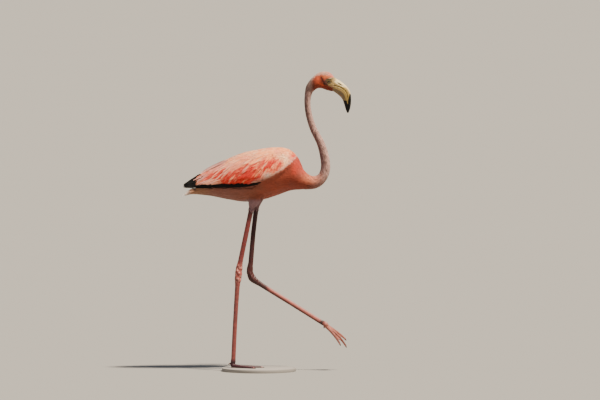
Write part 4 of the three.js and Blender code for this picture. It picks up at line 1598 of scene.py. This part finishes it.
eyeBuild = {
    "sides": 48,
    "rings": 30,
    "span": 112,  # degrees from the middle of the pupil to the back edge
    "inset": 0.25 * mm,  # behind the lids
    "rise": 0.45 * mm,  # of the clear front
    "front": 38,  # degrees that the clear front covers
    "pupil": 34,
    "iris": 47,
    "rays": 16,
    "tones": {"pupil": "020202", "inner": "8c7238", "iris": "b99c50", "rim": "160f08", "white": "4c4233"},
}


def eyeMaterial():
    material = newMaterial("wetEye", 0.12, 0.4, coat=0.6)
    return markedMaterial(material, [ranged(material, noiseOf(material, 1600, 3), (0.75, 1.15))])


def eyeMarkings(points):
    tones = tonesOf(eyeBuild["tones"])
    pupil, iris = eyeBuild["pupil"], eyeBuild["iris"]
    x, y, z = points.T
    angle = np.degrees(np.arctan2(np.hypot(x, y), z))
    rays = np.sin(np.arctan2(y, x) * eyeBuild["rays"]) * 0.15
    return layered(
        tones["inner"], tones, ("iris", ease(pupil + 2, iris - 6, angle) + rays),
        ("rim", ease(iris - 3, iris, angle)), ("white", ease(iris + 8, iris + 14, angle)),
        ("pupil", ease(pupil + 1, pupil - 1, angle)),
    )


def buildEyes():
    material = eyeMaterial()
    polar = np.radians(eyeBuild["span"]) * np.linspace(0, 1, eyeBuild["rings"]) ** 0.9
    bulge = eyeBuild["rise"] * np.exp(-(polar / math.radians(eyeBuild["front"])) ** 4)
    radius = eyes["radius"] - eyeBuild["inset"] + bulge
    profile = [(r * math.sin(a), r * math.cos(a)) for r, a in zip(radius, polar)]
    profile = [(0, radius[0])] + profile[1:] + [(0, profile[-1][1])]
    x, reach, z = eyes["place"]
    for side, hand in hands.items():
        mesh = turnedMesh("eye", profile, eyeBuild["sides"])
        points, _ = meshArrays(mesh)
        setColours(mesh, eyeMarkings(points))
        facing = Vector(eyes["facing"]) * Vector((1, hand, 1))
        turn = facing.to_track_quat("Z", "Y").to_matrix()
        setPoints(mesh, points @ np.array(turn).T + np.array([x, hand * reach, z]))
        addPiece(f"eyeball_{side}", mesh, material, [f"eye_{side}"])


buildEyes()
print("eyes built")

# claws

clawBuild = {
    "voxel": 0.4 * mm,
    "swell": 0.1 * mm,
    "polish": 6,
    "stretch": 1.2,
    "drop": 4 * mm,  # no part lies further below the tip
    "tones": {"root": "94605a", "tip": "3c2622"},
}


def clawMaterial():
    material = newMaterial("claws", 0.4, 0.5, coat=0.2)
    lines = noiseOf(material, 900, 4)
    feedShader(material, {"Normal": bumpOf(material, lines, 0.4, 0.0002)})
    return markedMaterial(material, [ranged(material, lines, (0.75, 1.15))])


def buildClaws():
    material = clawMaterial()
    tones = tonesOf(clawBuild["tones"])
    for name in [name for name in nodes if name.startswith("claw_")]:
        foot = np.array(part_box(f"foot_{name.split('_')[-1]}")).mean(0)
        mesh, _, _, points = smoothCopy([name], clawBuild)
        tip = points[np.linalg.norm(points - foot, axis=1).argmax()]
        points = tip + (points - tip) * clawBuild["stretch"]
        points[:, 2] = np.maximum(points[:, 2], tip[2] - clawBuild["drop"])
        setPoints(mesh, points)
        fromTip = np.linalg.norm(points - tip, axis=1)
        setColours(mesh, mixed(tones["tip"], tones["root"], ease(0.3, 1.0, fromTip / fromTip.max())))
        addPiece(name.replace("claw_", "clawHorn_"), mesh, material, [name])


buildClaws()
print("claws built")

# display base

baseBuild = {
    "bevel": 1.5 * mm,
    "groove": 9 * mm,  # in from the edge
    "grooveDepth": 0.5 * mm,
    "sides": 160,
    "tone": "8f8a83",
}


def baseMaterial():
    material = newMaterial("basePaint", 0.6, 0.35)
    grain = noiseOf(material, 260, 6)
    height = calculated(material, "MULTIPLY_ADD", grain, 0.5, noiseOf(material, 9, 3))
    feedShader(material, {"Base Color": shadesOf(material, height, baseBuild["tone"], (0.86, 1.08)),
                          "Normal": bumpOf(material, grain, 0.3, 0.0004)})
    return material


def buildBase():
    low, high = (np.array(corner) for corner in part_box("stand_base"))
    radius, top, bottom = (high[0] - low[0]) / 2, high[2], low[2]
    bevel, groove, dip = baseBuild["bevel"], radius - baseBuild["groove"], top - baseBuild["grooveDepth"]
    profile = [(0, top), (groove - 1.2 * mm, top), (groove - 0.5 * mm, dip), (groove + 0.5 * mm, dip),
               (groove + 1.2 * mm, top), (radius - bevel - 0.4 * mm, top)]
    for angle in np.radians(np.linspace(0, 90, 7)):
        profile.append((radius - bevel + bevel * math.sin(angle), top - bevel + bevel * math.cos(angle)))
    profile += [(radius, bottom + 1 * mm), (radius - 0.6 * mm, bottom), (0, bottom)]
    mesh = turnedMesh("displayBase", profile, baseBuild["sides"])
    points, _ = meshArrays(mesh)
    setPoints(mesh, points + (low + high) / 2 * (1, 1, 0))
    addPiece("displayBase", mesh, baseMaterial(), ["stand_base"])


buildBase()
print("base built")

# the skin's own finish

skinLook = {
    "roughness": 0.5,
    "scaleSize": 520,
    "scaleDepth": 0.0005,
    "grain": 900,
    "knobs": 1.1 * mm,  # height of the ankles' knobs
    "cover": 1.2 * mm,  # least depth of the body's skin below the surface of its feathers
}

# side view of the lifted foot, as places (x, z) in metres and turns in degrees
liftedFoot = {
    "along": (0.84, -0.54),  # direction of the tarsus and toes
    "tarsus": (0.2190, 0.1700),  # a point of its middle line
    "joint": (0.2186, 0.1650),
    "web": (0.231, 0.155),  # where the folds of the web start
    "folds": (26.4, 35.1),
    "foldWidth": 2.0,
    "curl": 146,  # degrees that the folds bend down in a metre
}


def skinMaterial():
    material = newMaterial("skin", skinLook["roughness"], 0.4, subsurface=0.06)
    size = {"Vector": objectPlace(material), "Scale": skinLook["scaleSize"]}
    cells = addNode(material, "ShaderNodeTexVoronoi", size, "Distance", feature="DISTANCE_TO_EDGE")
    scaly = attributeOf(material, "scaly", "Fac")
    seam = ranged(material, cells, (0.70, 1.0), (0.0, 0.12))
    shown = addNode(material, "ShaderNodeMix", {0: scaly, 2: 1.0, 3: seam}, data_type="FLOAT")
    grain = noiseOf(material, skinLook["grain"], 5)
    height = calculated(material, "MULTIPLY_ADD", grain, 0.3, shown)
    feedShader(material, {"Normal": bumpOf(material, height, 0.5, skinLook["scaleDepth"])})
    return markedMaterial(material, [shown, ranged(material, noiseOf(material, 75, 4), (0.82, 1.10))])


def ankleShare(points):
    near, far = spot(points, -0.070, 0.342, 0.030, 0.032), spot(points, -0.022, 0.335, 0.030, 0.026)
    return np.where(points[:, 1] < 0, near, far)


def legMarkings(points):
    x, y, z = points.T
    cloud = ripple(points, 0.020, 301)
    farSide = ease(0.006, 0.014, y)
    # on the far leg the joint's colour and its pale ridges are dimmed, part of its painted shade
    joint = ankleShare(points) * (1 - 0.75 * farSide)
    ridges = ease(-0.1, 0.9, ripple(points, 0.010, 302))
    forward, down = liftedFoot["along"]
    fromLine, fromJoint, fromWeb = (points[:, [0, 2]] - liftedFoot[key] for key in ("tarsus", "joint", "web"))
    across = fromLine @ (-down, forward)
    along = fromJoint @ (forward, down)
    lifted = (x > 0.19) & (z < 0.20)
    planted = (y < 0.08) & (z < 0.06) & (x < 0.05)
    # painted shade in the folds of the web between the closed toes, which curl down away from the joint
    reach = np.linalg.norm(fromWeb, axis=1)
    turn = np.degrees(np.arctan2(-fromWeb[:, 1], fromWeb[:, 0])) - liftedFoot["curl"] * reach
    folds = np.minimum(sum(bell(turn - fold, liftedFoot["foldWidth"]) for fold in liftedFoot["folds"]), 1)
    colour = layered(
        legTones["shin"], legTones, ("shaft", ease(0.37, 0.30, z)), ("sole", 0.25 + 0.25 * cloud),
        ("joint", 0.8 * joint), ("ridge", 0.8 * joint * (1 - farSide) * ridges),
        ("lifted", 0.9 * ease(0.025, 0.045, x)),
        # painted shade along the underside of the lifted tarsus
        ("under", 0.8 * ease(0.02, 0.05, x) * (x < 0.235) * ease(0.0, -0.0055, across)),
        ("toe", lifted * ease(0.004, 0.016, along)),
        ("fold", 0.85 * lifted * ease(0.015, 0.03, reach) * folds),
        ("band", 0.92 * lifted * bell(along + 0.002, 0.0075)),
        ("web", planted * ease(0.05, 0.03, z)),
    )
    # in the shade: the near leg just below its thigh, and the far one down to its ankle
    nearShade = between((1, 0.55), (1 - farSide) * ease(0.520, 0.542, z))
    farShade = between((1, 0.27), farSide * ease(0.038, 0.022, x))
    return colour * (nearShade * farShade)[:, None]


def settledSkin():
    # keeps the skin of the body under its feathers, and raises the knobs of the ankles
    points = skin.points.copy()
    body = np.isin(skin.zone, [trunk, wing, flight, tail]) & (points[:, 0] < 0.15)
    places, normals = lie.nearest(points[body])
    out = dot(points[body] - places, normals)
    cover = skinLook["cover"]
    points[body] = np.where(out > -cover, places - cover * normals, points[body])
    knobs = skinLook["knobs"] * ripple(points, 0.013, 305) * ankleShare(points) * (skin.zone == leg)
    return points + skin.normals * knobs[:, None]


def finishSkin():
    setPoints(skinMesh, settledSkin())
    points = skin.points
    onLeg = skin.zone == leg
    colour = relax(plumageMarkings(points, 0), skin.edges, 6)
    colour = mixed(colour, bareMarkings(points), bareness(points) * (skin.zone == head))
    setColours(skinMesh, np.where(onLeg[:, None], legMarkings(points), colour))
    scaly = skinMesh.attributes.new("scaly", "FLOAT", "POINT")
    scaly.data.foreach_set("value", floats(softened(onLeg, skin.edges, 3)))
    addPiece("skin", skinMesh, skinMaterial(), fleshParts)


finishSkin()
print("skin coloured")
